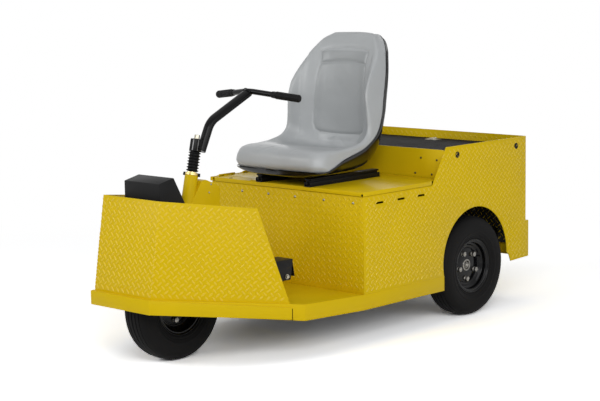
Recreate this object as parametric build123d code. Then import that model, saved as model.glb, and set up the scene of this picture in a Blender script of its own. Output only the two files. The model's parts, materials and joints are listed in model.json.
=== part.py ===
from build123d import *
from math import cos, hypot, radians, sin, tan
import os

# Electric tow tractor with a tiller, one bucket seat and a rear cargo deck. Millimetres.
# X runs forward from the rear axle, Y to the vehicle's left, Z up from the axles' centre line.
# Each node is moved when it is written, so that Z 0 is the floor and X 0 lies under the middle of the whole.

# ---- clearances ---------------------------------------------------------------------------
RUN = 0.05                # radial clearance of a running fit
GAP = 0.3                 # between two bodies' curved faces, and between a loose fit's flat ones
CUT = 1.0                 # how far a cutting block runs past the face it opens

# ---- wheels: 4.80-8 industrial tyres on steel rims ------------------------------------------
TYRE_D = 415.0
TYRE_W = 118.0
# a sidewall's outline: drop from the tread, and in from the widest point
SIDEWALL = ((46.0, 0.0), (22.0, 3.0), (7.0, 14.0), (0.0, 30.0))
BEAD_RISE = 8.0           # the tyre bulges out this far above the rim flange
BEAD_TUCK = 7.0
RIM_BEAD_D = 203.0
RIM_FLANGE_D = 228.0
RIM_WELL_D = 168.0
RIM_W = 96.0
RIM_WALL = 4.0
RIM_FLANGE_T = 5.0
RIM_SEAT_Y = 24.0         # where the bead seat ends and the drop to the well starts, from the middle
RIM_WELL_Y = 12.0
DISC_OUT = 15.0           # disc's outer face, outward from the tyre's middle
DISC_T = 5.0
STUD_D = 12.0
STUD_HOLE_D = 14.0
HUB_NOSE_D = 50.0
HUB_FLANGE_D = 122.0
HUB_OUT = 1.0             # hub cap's end, outward from the disc
REAR_HUB_IN = -44.0       # hub's inner end, from the tyre's middle
FRONT_HUB_IN = -46.0
BOLT_CIRCLE = 114.3
NUT_TURN = 61.3           # first nut's place round the circle, up from straight ahead
NUTS = 5
NUT_AF = 19.0
NUT_H = 15.0
WHEELBASE = 1328.0

# ---- body box -----------------------------------------------------------------------------
HALF_W = 415.0            # to the lugs' tips of the tread plate
TYRE_IN = 63.0            # rear tyres' middles, in from the body's side
PLATE = 3.0
TAIL_X = -376.0           # bumper's rear face
REAR_X = -355.0           # rear panel's rear face
TOP_Z = 515.5             # cargo box rim
BOX_FRONT_X = 198.0       # top of the side's slanted edge
SLANT_X = 288.0           # foot of the slanted edge, at the seat lid
WALL_X = 212.0            # front face of the wall behind the seat
WALL_TOP_Z = 504.5
BODY_X = 712.0            # front panel's front face
LID_Z = 387.5             # seat lid's top
LID_LIP = 16.0
LID_OVER = 5.0            # lip's overhang beyond the body
LID_CLEAR = 2.0           # below the lip
LID_WALL_GAP = 6.0        # behind the lid, and inside the box's slanted ends
LID_NOTCH = 10.0          # the lid's wide part starts this far ahead of the slant
SILL_Z = -10.5            # body side's foot, which is the pan's top edge
PAN_Z = -71.5             # pan skirt's foot
ARCH_Z = 32.5             # wheel arch's centre and radius
ARCH_R = 218.0
ARCH_LEG = 4.0            # the arch's front leg, in from the circle
PAN_REAR_GAP = 6.0        # pan's rear end, in from the circle
TAIL_FOOT_Z = -7.5
TAIL_TOE = (-247.0, -12.5)      # side panel's foot behind the wheel
TAIL_TURN = (-233.0, 18.5)
BUMPER_TOP_Z = 149.5
BUMPER_T = 4.0
SLOTS_X = (614.0, 484.0, 359.0)
SLOT_L = 43.0
SLOT_H = 8.0
SLOT_DROP = 50.0          # below the lid's top
BUTTONS_X = (124.0, -283.0)
BUTTON_D = 26.0             # round buttons on the side panels
BUTTON_T = 2.0
BUTTON_DROP = 37.0          # below the rim

# ---- foot well and nose: places ahead of or behind the front axle ----------------------------
CORNER_BACK = 281.0       # where the pan's sides turn in
CORNER_Z = 5.5
CORNER_FOOT_Z = -56.5
NOSE_AHEAD = 257.0
NOSE_HALF = 158.0
NOSE_Z = 74.5
NOSE_FOOT_Z = 23.5
STRIP_T = 5.0
STRIP_NOSE = (72.5, 20.5)       # strip's top and foot at the nose
STRIP_END = (-2.5, -47.5)       # and at its rear ends
STRIP_END_BACK = 241.0
SHIELD_IN = 9.0           # shield's foot, inward from the pan's edge
SHIELD_TOP_Z = 422.5
SHIELD_TOP_AHEAD = 192.0
SHIELD_TOP_HALF = 153.0
SHIELD_FOOT_BACK = 234.0
SHIELD_REAR_BACK = 143.0
SHIELD_REAR_Z = 372.5

# ---- steering: S runs up the steering axis from the wheel's centre ----------------------------
RAKE = 13.2               # the axis leans back, degrees
WHEEL_CLEAR = 10.3        # round the steered wheel at full lock
CROWN_CLEAR = 20.5        # from the tyre to the fork's crown
CROWN_T = 12.0
WELL_OVER = 19.0          # well's top, above the crown
WELL_BACK = 231.0         # well's rear face, behind the front axle
WELL_FLAT = 170.0         # half width of its middle panel; the outer ones turn forward to the shield
WELL_SPLAY = 22.4
TUBE_D = 42.0
TUBE_FOOT = 10.0          # head tube's foot, above the crown
TUBE_TOP_S = 488.0
SHAFT_D = 25.0
LEG_IN = 70.0
LEG_T = 10.0
LEG_W = 60.0
LEG_BELOW = 34.0          # leg's end, below the axle
AXLE_D = 20.0
AXLE_HEAD_D = 32.0
AXLE_HEAD_T = 14.0
FLANGE_D = 56.0
FLANGE_T = 9.0
FLANGE_BOLT_D = 9.0
FLANGE_BOLT_H = 4.0
FLANGE_BOLT_IN = 5.0
BOOT_OVER = 5.0           # boot's foot, above the flange
BOOT_CUFF = 1.5           # plain ends, past the outer ribs
BOOT_D = 44.0
BOOT_ROOT_D = 38.0
BOOT_RIBS = 7
BOOT_PITCH = 11.0
BOOT_RIB_W = 6.0
CLEVIS_L = 55.0
CLEVIS_X = 32.0
CLEVIS_Y = 44.0
CLEVIS_BOLT_D = 17.0
CLEVIS_BOLT_H = 12.0

# ---- tiller -------------------------------------------------------------------------------
ARM_D = 32.0
ARM_BEND = 70.0
ARM_FOOT = (-165.0, 560.5)      # ahead of the front axle, and up
ARM_KNEE = (-212.0, 670.5)
BAR_D = 22.0
BAR_BEND = 120.0
BAR_BEHIND = 423.0        # bar's middle, behind the front axle
BAR_Z = 772.5
BAR_HALF = 216.0
BAR_BACK = 53.0           # its ends, back and down from its middle
BAR_DROP = 25.0
BAR_OVER_ARM = 4.0
GRIP_D = 30.0
GRIP_L = 126.0
GRIP_END = 8.0            # grip's closed end, past the bar

# ---- pedestal, pod and pedals --------------------------------------------------------------
PED_HALF = 27.0
PED_FRONT = 2.0           # pedestal's foot, ahead of the front axle
# top edge from front to back: ahead of the front axle, and up
PED_TOP = ((-138.0, 452.5), (-160.0, 454.5), (-206.0, 436.5))
PED_BACK_Z = 420.5
POD_HALF = 96.0
POD_FOOT = (139.0, 14.0)        # front and rear face at the foot, ahead of the front axle
POD_FRONT_Z = 474.5
POD_RIDGE = (67.0, 490.5)
POD_BACK_Z = 392.5
PEDAL_BACK = 310.0        # pad's top edge, behind the front axle
PEDAL_OUT = 85.0          # pedal's outer edge, in from the side
PEDAL_W = 80.0
PEDAL_LEAN = 14.0         # pad's foot, ahead of its top edge
PEDAL_TOP_Z = 164.5
PEDAL_FOOT_Z = 87.5
PAD_T = 8.0

# ---- seat: places back from the seat's front edge, and up from the lid ----------------------
SEAT_OVER = 76.0          # front edge, ahead of the body
# sections from the front lip to the top of the back: middle of the seating face (back, up), the section's
# lean forward from upright, half width, wing above the middle, rim's depth, padding's and shell's thickness
SEAT_SECTIONS = ((0.0, 110.0, 0.0, 120.0, -6.0, 30.0, 36.0, 12.0),
                 (18.0, 139.0, 0.0, 200.0, -9.0, 52.0, 71.0, 14.0),
                 (46.0, 149.0, 0.0, 232.0, -9.0, 66.0, 85.0, 20.0),
                 (88.0, 152.0, 0.0, 237.0, -10.0, 64.0, 84.0, 33.7),
                 (188.0, 144.0, 0.0, 236.0, 3.0, 46.0, 75.0, 34.7),
                 (283.0, 127.0, 0.0, 235.0, 38.0, 42.0, 58.0, 34.7),
                 (356.0, 121.0, 31.0, 232.0, 74.0, 38.0, 55.0, 38.0),
                 (400.0, 140.0, 37.0, 229.0, 104.0, 61.0, 50.0, 28.0),
                 (430.0, 265.0, 59.0, 217.0, 105.0, 104.0, 45.0, 15.0),
                 (433.0, 345.0, 77.0, 212.0, 87.0, 109.0, 42.0, 14.0),
                 (438.0, 415.0, 88.0, 204.0, 60.0, 99.0, 42.0, 14.0),
                 (450.0, 490.0, 90.0, 184.0, 13.0, 65.0, 44.0, 13.0),
                 (466.0, 547.0, 99.0, 140.0, -17.0, 50.0, 48.0, 11.0),
                 (494.0, 577.0, 104.0, 109.0, -16.0, 16.0, 28.0, 8.0))
PAD_FLAT = 0.5            # of the half width: flat middle, then the foot of the wings
PAD_SLOPE = 0.8
CREST_IN = 14.0           # wing's crest, in from the rim
CREST_OVER = 12.0         # and above it
RIM_OUT = 2.0             # shell's edge, out from the rim
SHELL_LIP = 12.0
SHELL_GAP = 1.0           # between the padding and the shell
RAIL_Y = 133.0
RAIL_HALF = 18.0
RAIL_BACK = (66.0, 488.0)
RAIL_H = 33.0

# ---- cargo deck and the two hinges ------------------------------------------------------------
DECK_Z = 480.5            # mat's top
DECK_GAP = 6.0
DECK_T = 4.0
MAT_T = 6.0
LEDGE_W = 24.0
LEDGE_T = 9.7
LEDGE_END = (-326.0, 150.0)
PIN_R = 2.5
KNUCKLE_R = 4.2
KNUCKLE_L = 25.0          # each outer knuckle
MIDDLE_L = 40.0           # room for the middle knuckle, between the outer ones
PIN_SHORT = 5.0           # pin's ends, inside the outer knuckles
LEAF_T = 2.0
DECK_PIN_BACK = 8.0       # deck's pin, behind the wall's front face
DECK_LEAF = 20.0
DECK_HINGES_Y = (-260.0, 0.0, 260.0)
LID_PIN_IN = 15.0         # lid's pin, in from the body's right side
LID_PIN_UP = 4.0
LID_PIN_SLOT = 5.0        # half the slot between the lid and its strip
LID_LEAF = 15.0
LID_HINGES_X = (360.0, 500.0, 640.0)
FLANGE_DROP = 24.0        # strip's inner flange, below the lip
STRIP_FLANGE = 12.0

# ---- running gear -------------------------------------------------------------------------
RAIL_IN = 232.0           # frame rails
RAIL_W = 40.0
RAIL_TALL = 60.0
AXLE_TUBE_D = 64.0
SADDLE_OVER = 10.5        # rail's foot, above the axle tube
SADDLE_L = 90.0
DIFF_D = 190.0
DIFF_W = 124.0
MOTOR_D = 160.0
MOTOR_REAR_X = -314.0
MOTOR_UP = 8.0
BATTERY_X = (226.0, 694.0)
BATTERY_H = 280.0
BATTERY_SIDE = 4.0        # inside the frame rails
HITCH_Z = 77.5
HITCH_L = 58.0
HITCH_W = 60.0
HITCH_GAP = 34.0
HITCH_PLATE = 12.0
PIN_BORE = 20.0
PIN_EDGE = 24.0           # bore's axis, from the hitch's end

AXLE_UP = TYRE_D / 2
NOSE_X = WHEELBASE + NOSE_AHEAD
CORNER_X = WHEELBASE - CORNER_BACK
STRIP_END_X = WHEELBASE - STRIP_END_BACK
SHIELD_FOOT_X = WHEELBASE - SHIELD_FOOT_BACK
SHIELD_REAR_X = WHEELBASE - SHIELD_REAR_BACK
WELL_X = WHEELBASE - WELL_BACK
FRAME_Z = AXLE_TUBE_D / 2 + SADDLE_OVER
FRAME_TOP_Z = FRAME_Z + RAIL_TALL
IN_HALF = HALF_W - PLATE
LIP_Z = LID_Z - LID_LIP
BODY_TOP_Z = LIP_Z - LID_CLEAR
HITCH_X = TAIL_X - HITCH_L
TRACK_HALF = HALF_W - TYRE_IN
BOOT_L = (BOOT_RIBS - 1) * BOOT_PITCH + BOOT_RIB_W + 2 * BOOT_CUFF
SKY = NOSE_X              # above everything, for cutting blocks
MID_X = (NOSE_X + STRIP_T + HITCH_X) / 2
nodes = {}


def save(name, shape):
    # keeps a node in its final place; an operation that leaves loose pieces returns a list
    whole = Compound(children=list(shape)) if isinstance(shape, list) else shape
    nodes[name] = Pos(-MID_X, 0, AXLE_UP) * whole


def outline(points):
    return Face(Wire.make_polygon([Vector(*p) for p in points], close=True))


def box(x0, x1, y0, y1, z0, z1):
    return Pos((x0 + x1) / 2, (y0 + y1) / 2, (z0 + z1) / 2) * Box(x1 - x0, y1 - y0, z1 - z0)


def side_plate(points, y0, y1):
    # a flat plate from its X-Z outline, between two Y values
    return Solid.extrude(outline([(x, y0, z) for x, z in points]), Vector(0, y1 - y0, 0))


def plan_block(points, z0, z1):
    # an upright block from its plan outline
    return Solid.extrude(outline([(x, y, z0) for x, y in points]), Vector(0, 0, z1 - z0))


def sheet(points, thickness, inside):
    # a flat plate of any slope: its outline is the outer face, and it thickens towards the point inside
    pts = [Vector(*p) for p in points]
    normal = (pts[1] - pts[0]).cross(pts[2] - pts[0]).normalized()
    if normal.dot(Vector(*inside) - pts[0]) < 0:
        normal = normal * -1
    return Solid.extrude(outline(points), normal * thickness)


def mirror_y(shape):
    return mirror(shape, about=Plane.XZ)


def across(d, y0, y1, x=0.0, z=0.0):
    # a cylinder along Y
    return Pos(x, (y0 + y1) / 2, z) * Rot(90, 0, 0) * Cylinder(d / 2, y1 - y0)


def turned(points):
    # a ring turned about the Y axis from (radius, y) points
    return Solid.revolve(outline([(r, y, 0) for r, y in points]), 360, Axis.Y)


def mirrored(half):
    # an outline's other half, across Y 0
    return half + [(r, -y) for r, y in reversed(half)]


def edge_at(x, inset=0.0):
    # half width of the nose at x, less an inset square to the slanted edge
    run, rise = NOSE_X - CORNER_X, HALF_W - NOSE_HALF
    return NOSE_HALF + (NOSE_X - x) * rise / run - inset * hypot(run, rise) / run


def floor_z(x):
    # top of the pan's floor
    if x < CORNER_X:
        return SILL_Z + (x - BODY_X) * (CORNER_Z - SILL_Z) / (CORNER_X - BODY_X)
    return CORNER_Z + (x - CORNER_X) * (NOSE_Z - CORNER_Z) / (NOSE_X - CORNER_X)


# ======================= wheels =======================
def tyre():
    r_out, half_w = TYRE_D / 2, TYRE_W / 2
    bead, over = RIM_W / 2 - RIM_FLANGE_T - GAP, RIM_FLANGE_D / 2 + GAP
    half = [(RIM_BEAD_D / 2, bead), (over, bead), (over + BEAD_RISE, half_w - BEAD_TUCK)]
    half += [(r_out - drop, half_w - tuck) for drop, tuck in SIDEWALL]
    return turned(mirrored(half))


def stud_places():
    for k in range(NUTS):
        a = radians(NUT_TURN + 360 / NUTS * k)
        yield BOLT_CIRCLE / 2 * cos(a), BOLT_CIRCLE / 2 * sin(a)


def rim():
    # barrel with a drop centre, and the disc with its stud holes
    seat, well, wall, edge = RIM_BEAD_D / 2 - GAP, RIM_WELL_D / 2, RIM_WALL, RIM_W / 2
    outer = [(RIM_FLANGE_D / 2, edge), (RIM_FLANGE_D / 2, edge - RIM_FLANGE_T), (seat, edge - RIM_FLANGE_T),
             (seat, RIM_SEAT_Y), (well + wall, RIM_WELL_Y)]
    inner = [(well, RIM_WELL_Y + wall / 2), (seat - wall, RIM_SEAT_Y + wall / 2), (seat - wall, edge)]
    barrel = turned(mirrored(outer) + [(r, -y) for r, y in reversed(inner)] + inner)
    plate = across(2 * well + 1, DISC_OUT - DISC_T, DISC_OUT) - across(HUB_NOSE_D, DISC_OUT - DISC_T, DISC_OUT)
    for x, z in stud_places():
        plate -= across(STUD_HOLE_D, DISC_OUT - DISC_T - CUT, DISC_OUT + CUT, x, z)
    return barrel + plate


def hub(bore, inner_end):
    # bearing hub through the disc, with its studs and nuts; +Y is the outside
    shape = across(HUB_FLANGE_D, inner_end, DISC_OUT - DISC_T)
    shape += across(HUB_NOSE_D, DISC_OUT - DISC_T, DISC_OUT + HUB_OUT)
    nut = extrude(Plane.XZ * RegularPolygon(NUT_AF / 3 ** 0.5, 6), -NUT_H)
    for x, z in stud_places():
        shape += Pos(x, DISC_OUT, z) * nut + across(STUD_D, DISC_OUT - DISC_T, DISC_OUT + DISC_T, x, z)
    if bore:
        shape -= across(bore + 2 * RUN, inner_end - CUT, DISC_OUT + HUB_OUT + CUT)
    return shape


for name, side in (("left", 1), ("right", -1)):
    for part, shape in (("tyre", tyre()), ("rim", rim()), ("hub", hub(0, REAR_HUB_IN))):
        placed = Pos(0, TRACK_HALF, 0) * shape
        save(f"rear_{name}_{part}", placed if side > 0 else mirror_y(placed))
for part, shape in (("tyre", tyre()), ("rim", rim()), ("hub", hub(AXLE_D, FRONT_HUB_IN))):
    save(f"front_{part}", Pos(WHEELBASE, 0, 0) * shape)

# ======================= floor pan =======================
pan_rear_x = ARCH_R - PAN_REAR_GAP
well_r = hypot(TYRE_D / 2, TYRE_W / 2) + WHEEL_CLEAR


def nose_plan(x0, inset):
    # plan outline from x0 to the nose, drawn in by inset on every side but the rear
    half, tip = HALF_W - inset, NOSE_X - inset
    turn = NOSE_X - (half - edge_at(NOSE_X, inset)) * (NOSE_X - CORNER_X) / (HALF_W - NOSE_HALF)
    return [(x0, -half), (x0, half), (turn, half), (tip, edge_at(tip, inset)), (tip, -edge_at(tip, inset)),
            (turn, -half)]


top_line = [(pan_rear_x, SILL_Z), (BODY_X, SILL_Z), (CORNER_X, CORNER_Z), (NOSE_X, NOSE_Z)]
foot_line = [(NOSE_X, NOSE_FOOT_Z), (CORNER_X, CORNER_FOOT_Z), (BODY_X, PAN_Z), (pan_rear_x, PAN_Z)]
pan = side_plate(top_line + foot_line, -HALF_W, HALF_W) & plan_block(nose_plan(pan_rear_x, 0), -SKY, SKY)
under_floor = side_plate([(BODY_X, -SKY), (BODY_X, SILL_Z - PLATE), (CORNER_X, CORNER_Z - PLATE),
                          (NOSE_X, NOSE_Z - PLATE), (NOSE_X, -SKY)], -HALF_W, HALF_W)
pan -= under_floor & plan_block(nose_plan(BODY_X, PLATE), -SKY, SKY)
pan -= box(pan_rear_x + PLATE, BODY_X - PLATE, -IN_HALF, IN_HALF, PAN_Z + PLATE, SKY)
pan -= Pos(WHEELBASE, 0, 0) * Cylinder(well_r, 2 * SKY)
save("floor_pan", pan)

# ======================= bumper strip =======================
run, rise = NOSE_X - CORNER_X, HALF_W - NOSE_HALF
out_x, out_y = rise / hypot(run, rise) * STRIP_T, run / hypot(run, rise) * STRIP_T
strip_corner = NOSE_HALF + out_y - (STRIP_T - out_x) * rise / run
strip_end_y = edge_at(STRIP_END_X)
strip_plan = [(NOSE_X, NOSE_HALF), (NOSE_X + STRIP_T, strip_corner), (STRIP_END_X + out_x, strip_end_y + out_y),
              (STRIP_END_X, strip_end_y)]
strip_band = [(NOSE_X + STRIP_T, STRIP_NOSE[0]), (NOSE_X, STRIP_NOSE[0]), (STRIP_END_X, STRIP_END[0]),
              (STRIP_END_X, STRIP_END[1]), (NOSE_X, STRIP_NOSE[1]), (NOSE_X + STRIP_T, STRIP_NOSE[1])]
strip_side = plan_block(strip_plan, -SKY, SKY) & side_plate(strip_band, 0, 2 * HALF_W)
nose_band = plan_block([(NOSE_X, -NOSE_HALF), (NOSE_X, NOSE_HALF), (NOSE_X + STRIP_T, strip_corner),
                        (NOSE_X + STRIP_T, -strip_corner)], STRIP_NOSE[1], STRIP_NOSE[0])
save("bumper_strip", strip_side + mirror_y(strip_side) + nose_band)

# ======================= front shield =======================
foot_x = NOSE_X - SHIELD_IN
nose_foot = Vector(foot_x, edge_at(foot_x, SHIELD_IN), floor_z(foot_x))
rear_foot = Vector(SHIELD_FOOT_X, edge_at(SHIELD_FOOT_X, SHIELD_IN), floor_z(SHIELD_FOOT_X))
nose_top = Vector(WHEELBASE + SHIELD_TOP_AHEAD, SHIELD_TOP_HALF, SHIELD_TOP_Z)
wing_normal = (rear_foot - nose_foot).cross(nose_top - nose_foot).normalized()


def wing_y(x, z):
    # the left wing's outer face at x and z
    d = wing_normal.dot(nose_foot) - wing_normal.X * x - wing_normal.Z * z
    return d / wing_normal.Y


def flip_y(v):
    return Vector(v.X, -v.Y, v.Z)


rear_top = Vector(SHIELD_REAR_X, wing_y(SHIELD_REAR_X, SHIELD_REAR_Z), SHIELD_REAR_Z)
inside = (SHIELD_REAR_X, 0, SHIELD_REAR_Z)
wing = sheet([nose_foot, nose_top, rear_top, rear_foot], PLATE, inside)
face = sheet([flip_y(nose_foot), nose_foot, nose_top, flip_y(nose_top)], PLATE, inside)
above_floor = side_plate([(CORNER_X, CORNER_Z), (NOSE_X, NOSE_Z), (NOSE_X, SKY), (CORNER_X, SKY)],
                         -HALF_W, HALF_W)
save("front_shield", (wing + mirror_y(wing) + face) & above_floor)

# ======================= wheel well, pedestal and head tube =======================
slope = (sin(radians(RAKE)), cos(radians(RAKE)))
AXIS = Plane(origin=(WHEELBASE, 0, 0), x_dir=(slope[1], 0, slope[0]), z_dir=(-slope[0], 0, slope[1]))
crown_s = TYRE_D / 2 + CROWN_CLEAR
crown_top_s = crown_s + CROWN_T
tube_foot_s = crown_top_s + TUBE_FOOT
flange_top_s = TUBE_TOP_S + FLANGE_T
boot_s = flange_top_s + BOOT_OVER
clevis_s = boot_s + BOOT_L
clevis_top_s = clevis_s + CLEVIS_L


def on_axis(shape):
    return AXIS.location * shape


def rod(d, s0, s1):
    return Pos(0, 0, (s0 + s1) / 2) * Cylinder(d / 2, s1 - s0)


def wing_inner(x, z):
    # the wing's inner face less a small clearance
    return wing_y(x, z) - PLATE / wing_normal.Y - 2 * GAP


def face_inner_x(z):
    lean = (nose_top.X - nose_foot.X) / (nose_top.Z - nose_foot.Z)
    return nose_foot.X + (z - nose_foot.Z) * lean - PLATE * hypot(1, lean) - 2 * GAP


well_z = crown_top_s * slope[1] + WELL_OVER + PLATE
well_front_x = face_inner_x(well_z)
well_foot_z = floor_z(WELL_X) - PLATE
rear_x, turn = WELL_X - PLATE, radians(WELL_SPLAY)
rear_turn_y = WELL_FLAT + PLATE * tan(turn / 2)
reach = (NOSE_X - WELL_X) / 2
rear_end = (rear_x + reach * sin(turn), rear_turn_y + reach * cos(turn))
front_end = (WELL_X + reach * sin(turn), WELL_FLAT + reach * cos(turn))
wing_corners = [(rear_x, well_foot_z), (NOSE_X, well_foot_z), (NOSE_X, BODY_TOP_Z), (rear_x, BODY_TOP_Z)]
inside_wing = sheet([(x, wing_inner(x, z), z) for x, z in wing_corners], HALF_W, (WHEELBASE, 0, 0))
wall_plan = [(rear_x, 0), (rear_x, rear_turn_y), rear_end, front_end, (WELL_X, WELL_FLAT), (WELL_X, 0)]
top_plan = [(rear_x, 0), (rear_x, rear_turn_y), rear_end, (well_front_x, rear_end[1]), (well_front_x, 0)]
well_wall = plan_block(wall_plan, well_foot_z, well_z - PLATE) & above_floor & inside_wing
well_top = plan_block(top_plan, well_z - PLATE, well_z) & inside_wing
well_half = well_wall + well_top - on_axis(rod(TUBE_D + 2 * GAP, 0, SKY))
save("wheel_well", well_half + mirror_y(well_half))
save("head_tube", on_axis(rod(TUBE_D, tube_foot_s, TUBE_TOP_S) - rod(SHAFT_D + 2 * RUN, 0, SKY)))


def pedestal_side(inset):
    top = [(WHEELBASE + ahead, z - inset) for ahead, z in PED_TOP]
    foot = [(WELL_X + inset, well_z - inset / PLATE), (WHEELBASE + PED_FRONT - inset, well_z - inset / PLATE)]
    return foot + top + [(WELL_X + inset, PED_BACK_Z - inset)]


pedestal = side_plate(pedestal_side(0), -PED_HALF, PED_HALF)
pedestal -= side_plate(pedestal_side(PLATE), PLATE - PED_HALF, PED_HALF - PLATE)
pedestal -= on_axis(rod(TUBE_D + 2 * GAP, 0, SKY))
save("column_pedestal", pedestal.solids().sort_by(SortBy.VOLUME)[-1])

# bearing flange on top of the head tube, with its two bolts
flange = rod(FLANGE_D, TUBE_TOP_S, flange_top_s) - rod(SHAFT_D + 2 * RUN, 0, SKY)
for side in (-1, 1):
    bolt_y = side * (FLANGE_D / 2 - FLANGE_BOLT_IN)
    flange += Pos(0, bolt_y, 0) * rod(FLANGE_BOLT_D, flange_top_s, flange_top_s + FLANGE_BOLT_H)
save("bearing_flange", on_axis(flange))


# ======================= instrument pod =======================
def pod_block(inset):
    front, rear = WHEELBASE + POD_FOOT[0] - inset, WHEELBASE + POD_FOOT[1] + inset
    ridge = (WHEELBASE + POD_RIDGE[0], POD_RIDGE[1] - inset)
    points = [(front, well_z - inset / PLATE), (front, POD_FRONT_Z - inset), ridge, (rear, POD_BACK_Z - inset),
              (rear, well_z - inset / PLATE)]
    return side_plate(points, inset - POD_HALF, POD_HALF - inset)


save("instrument_pod", pod_block(0) - pod_block(PLATE))

# ======================= pedals =======================
# a pad with a hood of folded plate, which hangs on the well's turned panel
pedal_x = WHEELBASE - PEDAL_BACK
outer_y = HALF_W - PEDAL_OUT


def pedal_block(back, side, drop):
    points = [(pedal_x + back, PEDAL_TOP_Z - drop), (pedal_x + PEDAL_LEAN + back, PEDAL_FOOT_Z - drop),
              (NOSE_X, PEDAL_FOOT_Z - drop), (NOSE_X, PEDAL_TOP_Z - drop)]
    return side_plate(points, outer_y - PEDAL_W + side, outer_y - side)


pedal = pedal_block(0, 0, 0) - pedal_block(PAD_T, PLATE, PLATE)
facing = Vector(cos(radians(WELL_SPLAY)), -sin(radians(WELL_SPLAY)))
along = Vector(sin(radians(WELL_SPLAY)), cos(radians(WELL_SPLAY)))
seat_line = Vector(WELL_X, WELL_FLAT) - facing * (PLATE + GAP)
beyond = [seat_line - along * HALF_W, seat_line + along * HALF_W, seat_line + along * HALF_W + facing * HALF_W,
          seat_line - along * HALF_W + facing * HALF_W]
pedal = (pedal - plan_block([(v.X, v.Y) for v in beyond], -SKY, SKY)).solids().sort_by(SortBy.VOLUME)[-1]
save("brake_pedal", pedal)
save("accelerator_pedal", mirror_y(pedal))

# ======================= body panels =======================
arch_leg_x = ARCH_R - ARCH_LEG
side_outline = [(BODY_X - PLATE, SILL_Z), (BODY_X - PLATE, BODY_TOP_Z), (SLANT_X, BODY_TOP_Z),
                (BOX_FRONT_X, TOP_Z), (REAR_X, TOP_Z), (REAR_X, BUMPER_TOP_Z), (TAIL_X, BUMPER_TOP_Z),
                (TAIL_X, TAIL_FOOT_Z), TAIL_TOE, TAIL_TURN, (-arch_leg_x, ARCH_Z), (arch_leg_x, ARCH_Z),
                (arch_leg_x, SILL_Z)]
panel = side_plate(side_outline, IN_HALF, HALF_W)
panel -= across(2 * ARCH_R, IN_HALF - CUT, HALF_W + CUT, 0, ARCH_Z)
for x in SLOTS_X:
    panel -= Pos(x, HALF_W, LID_Z - SLOT_DROP) * Box(SLOT_L, 4 * PLATE, SLOT_H)
buttons = []
for x in BUTTONS_X:
    for y0 in (-HALF_W - BUTTON_T, HALF_W):
        buttons.append(across(BUTTON_D, y0, y0 + BUTTON_T, x, TOP_Z - BUTTON_DROP))
save("left_side_panel", panel)
save("right_side_panel", mirror_y(panel))
save("side_buttons", Compound(children=buttons))

save("front_panel", box(BODY_X - PLATE, BODY_X, -HALF_W, HALF_W, SILL_Z, BODY_TOP_Z))
save("rear_panel", box(REAR_X, REAR_X + PLATE, -IN_HALF, IN_HALF, FRAME_Z, TOP_Z))
bumper = box(TAIL_X, TAIL_X + BUMPER_T, -IN_HALF, IN_HALF, TAIL_FOOT_Z, BUMPER_TOP_Z)
for z in (TAIL_FOOT_Z, BUMPER_TOP_Z - BUMPER_T):
    bumper += box(TAIL_X, REAR_X, -IN_HALF, IN_HALF, z, z + BUMPER_T)
for y in (-RAIL_IN - RAIL_W, RAIL_IN):
    bumper += box(TAIL_X, REAR_X, y, y + RAIL_W, TAIL_FOOT_Z, BUMPER_TOP_Z)
save("rear_bumper", bumper)

# ======================= frame and running gear =======================
rail = box(REAR_X + PLATE, BODY_X - PLATE, RAIL_IN, RAIL_IN + RAIL_W, FRAME_Z, FRAME_TOP_Z)
save("left_frame_rail", rail)
save("right_frame_rail", mirror_y(rail))
saddle = box(-SADDLE_L / 2, SADDLE_L / 2, RAIL_IN, RAIL_IN + RAIL_W, 0, FRAME_Z)
saddle -= across(AXLE_TUBE_D, 0, HALF_W)
save("axle_seats", Compound(children=[saddle, mirror_y(saddle)]))
axle_end = TRACK_HALF + REAR_HUB_IN - GAP
save("rear_axle", across(AXLE_TUBE_D, -axle_end, axle_end) + across(DIFF_D, -DIFF_W / 2, DIFF_W / 2))
motor = Pos(MOTOR_REAR_X / 2, 0, MOTOR_UP) * Rot(0, 90, 0) * Cylinder(MOTOR_D / 2, -MOTOR_REAR_X)
motor -= across(DIFF_D + 2 * GAP, -MOTOR_D, MOTOR_D)
save("drive_motor", motor.solids().sort_by(Axis.X)[0])
battery_half = RAIL_IN - BATTERY_SIDE
save("battery_pack", box(*BATTERY_X, -battery_half, battery_half, PAN_Z + PLATE, PAN_Z + PLATE + BATTERY_H))

hitch_half = HITCH_GAP / 2 + HITCH_PLATE
hitch = box(HITCH_X, TAIL_X, -HITCH_W / 2, HITCH_W / 2, HITCH_Z - hitch_half, HITCH_Z + hitch_half)
jaw_half = HITCH_GAP / 2
hitch -= box(HITCH_X - CUT, TAIL_X - HITCH_PLATE, -HITCH_W, HITCH_W, HITCH_Z - jaw_half, HITCH_Z + jaw_half)
hitch -= Pos(HITCH_X + PIN_EDGE, 0, HITCH_Z) * Cylinder(PIN_BORE / 2, 4 * hitch_half)
save("tow_hitch", hitch)


# ======================= cargo deck =======================
def hinge(place, fixed_leaf, moving_leaf):
    # a hinge along X: the fixed part's outer knuckles, pin and leaf, and the moving part's knuckle and leaf
    # a leaf's values: reach from the pin, foot and top; the fixed leaf points to +Y, the moving one to -Y
    half, end = MIDDLE_L / 2, MIDDLE_L / 2 + KNUCKLE_L

    def along(r, x0, x1):
        return Pos((x0 + x1) / 2, 0, 0) * Rot(0, 90, 0) * Cylinder(r, x1 - x0)

    fixed = along(PIN_R, PIN_SHORT - end, end - PIN_SHORT)
    for x0, x1 in ((-end, -half), (half, end)):
        fixed += along(KNUCKLE_R, x0, x1) + box(x0, x1, 0, *fixed_leaf)
    middle = half - GAP
    moving = along(KNUCKLE_R, -middle, middle) + box(-middle, middle, -moving_leaf[0], 0, *moving_leaf[1:])
    moving -= along(PIN_R + RUN, -end, end)
    return place * fixed, place * moving


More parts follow.
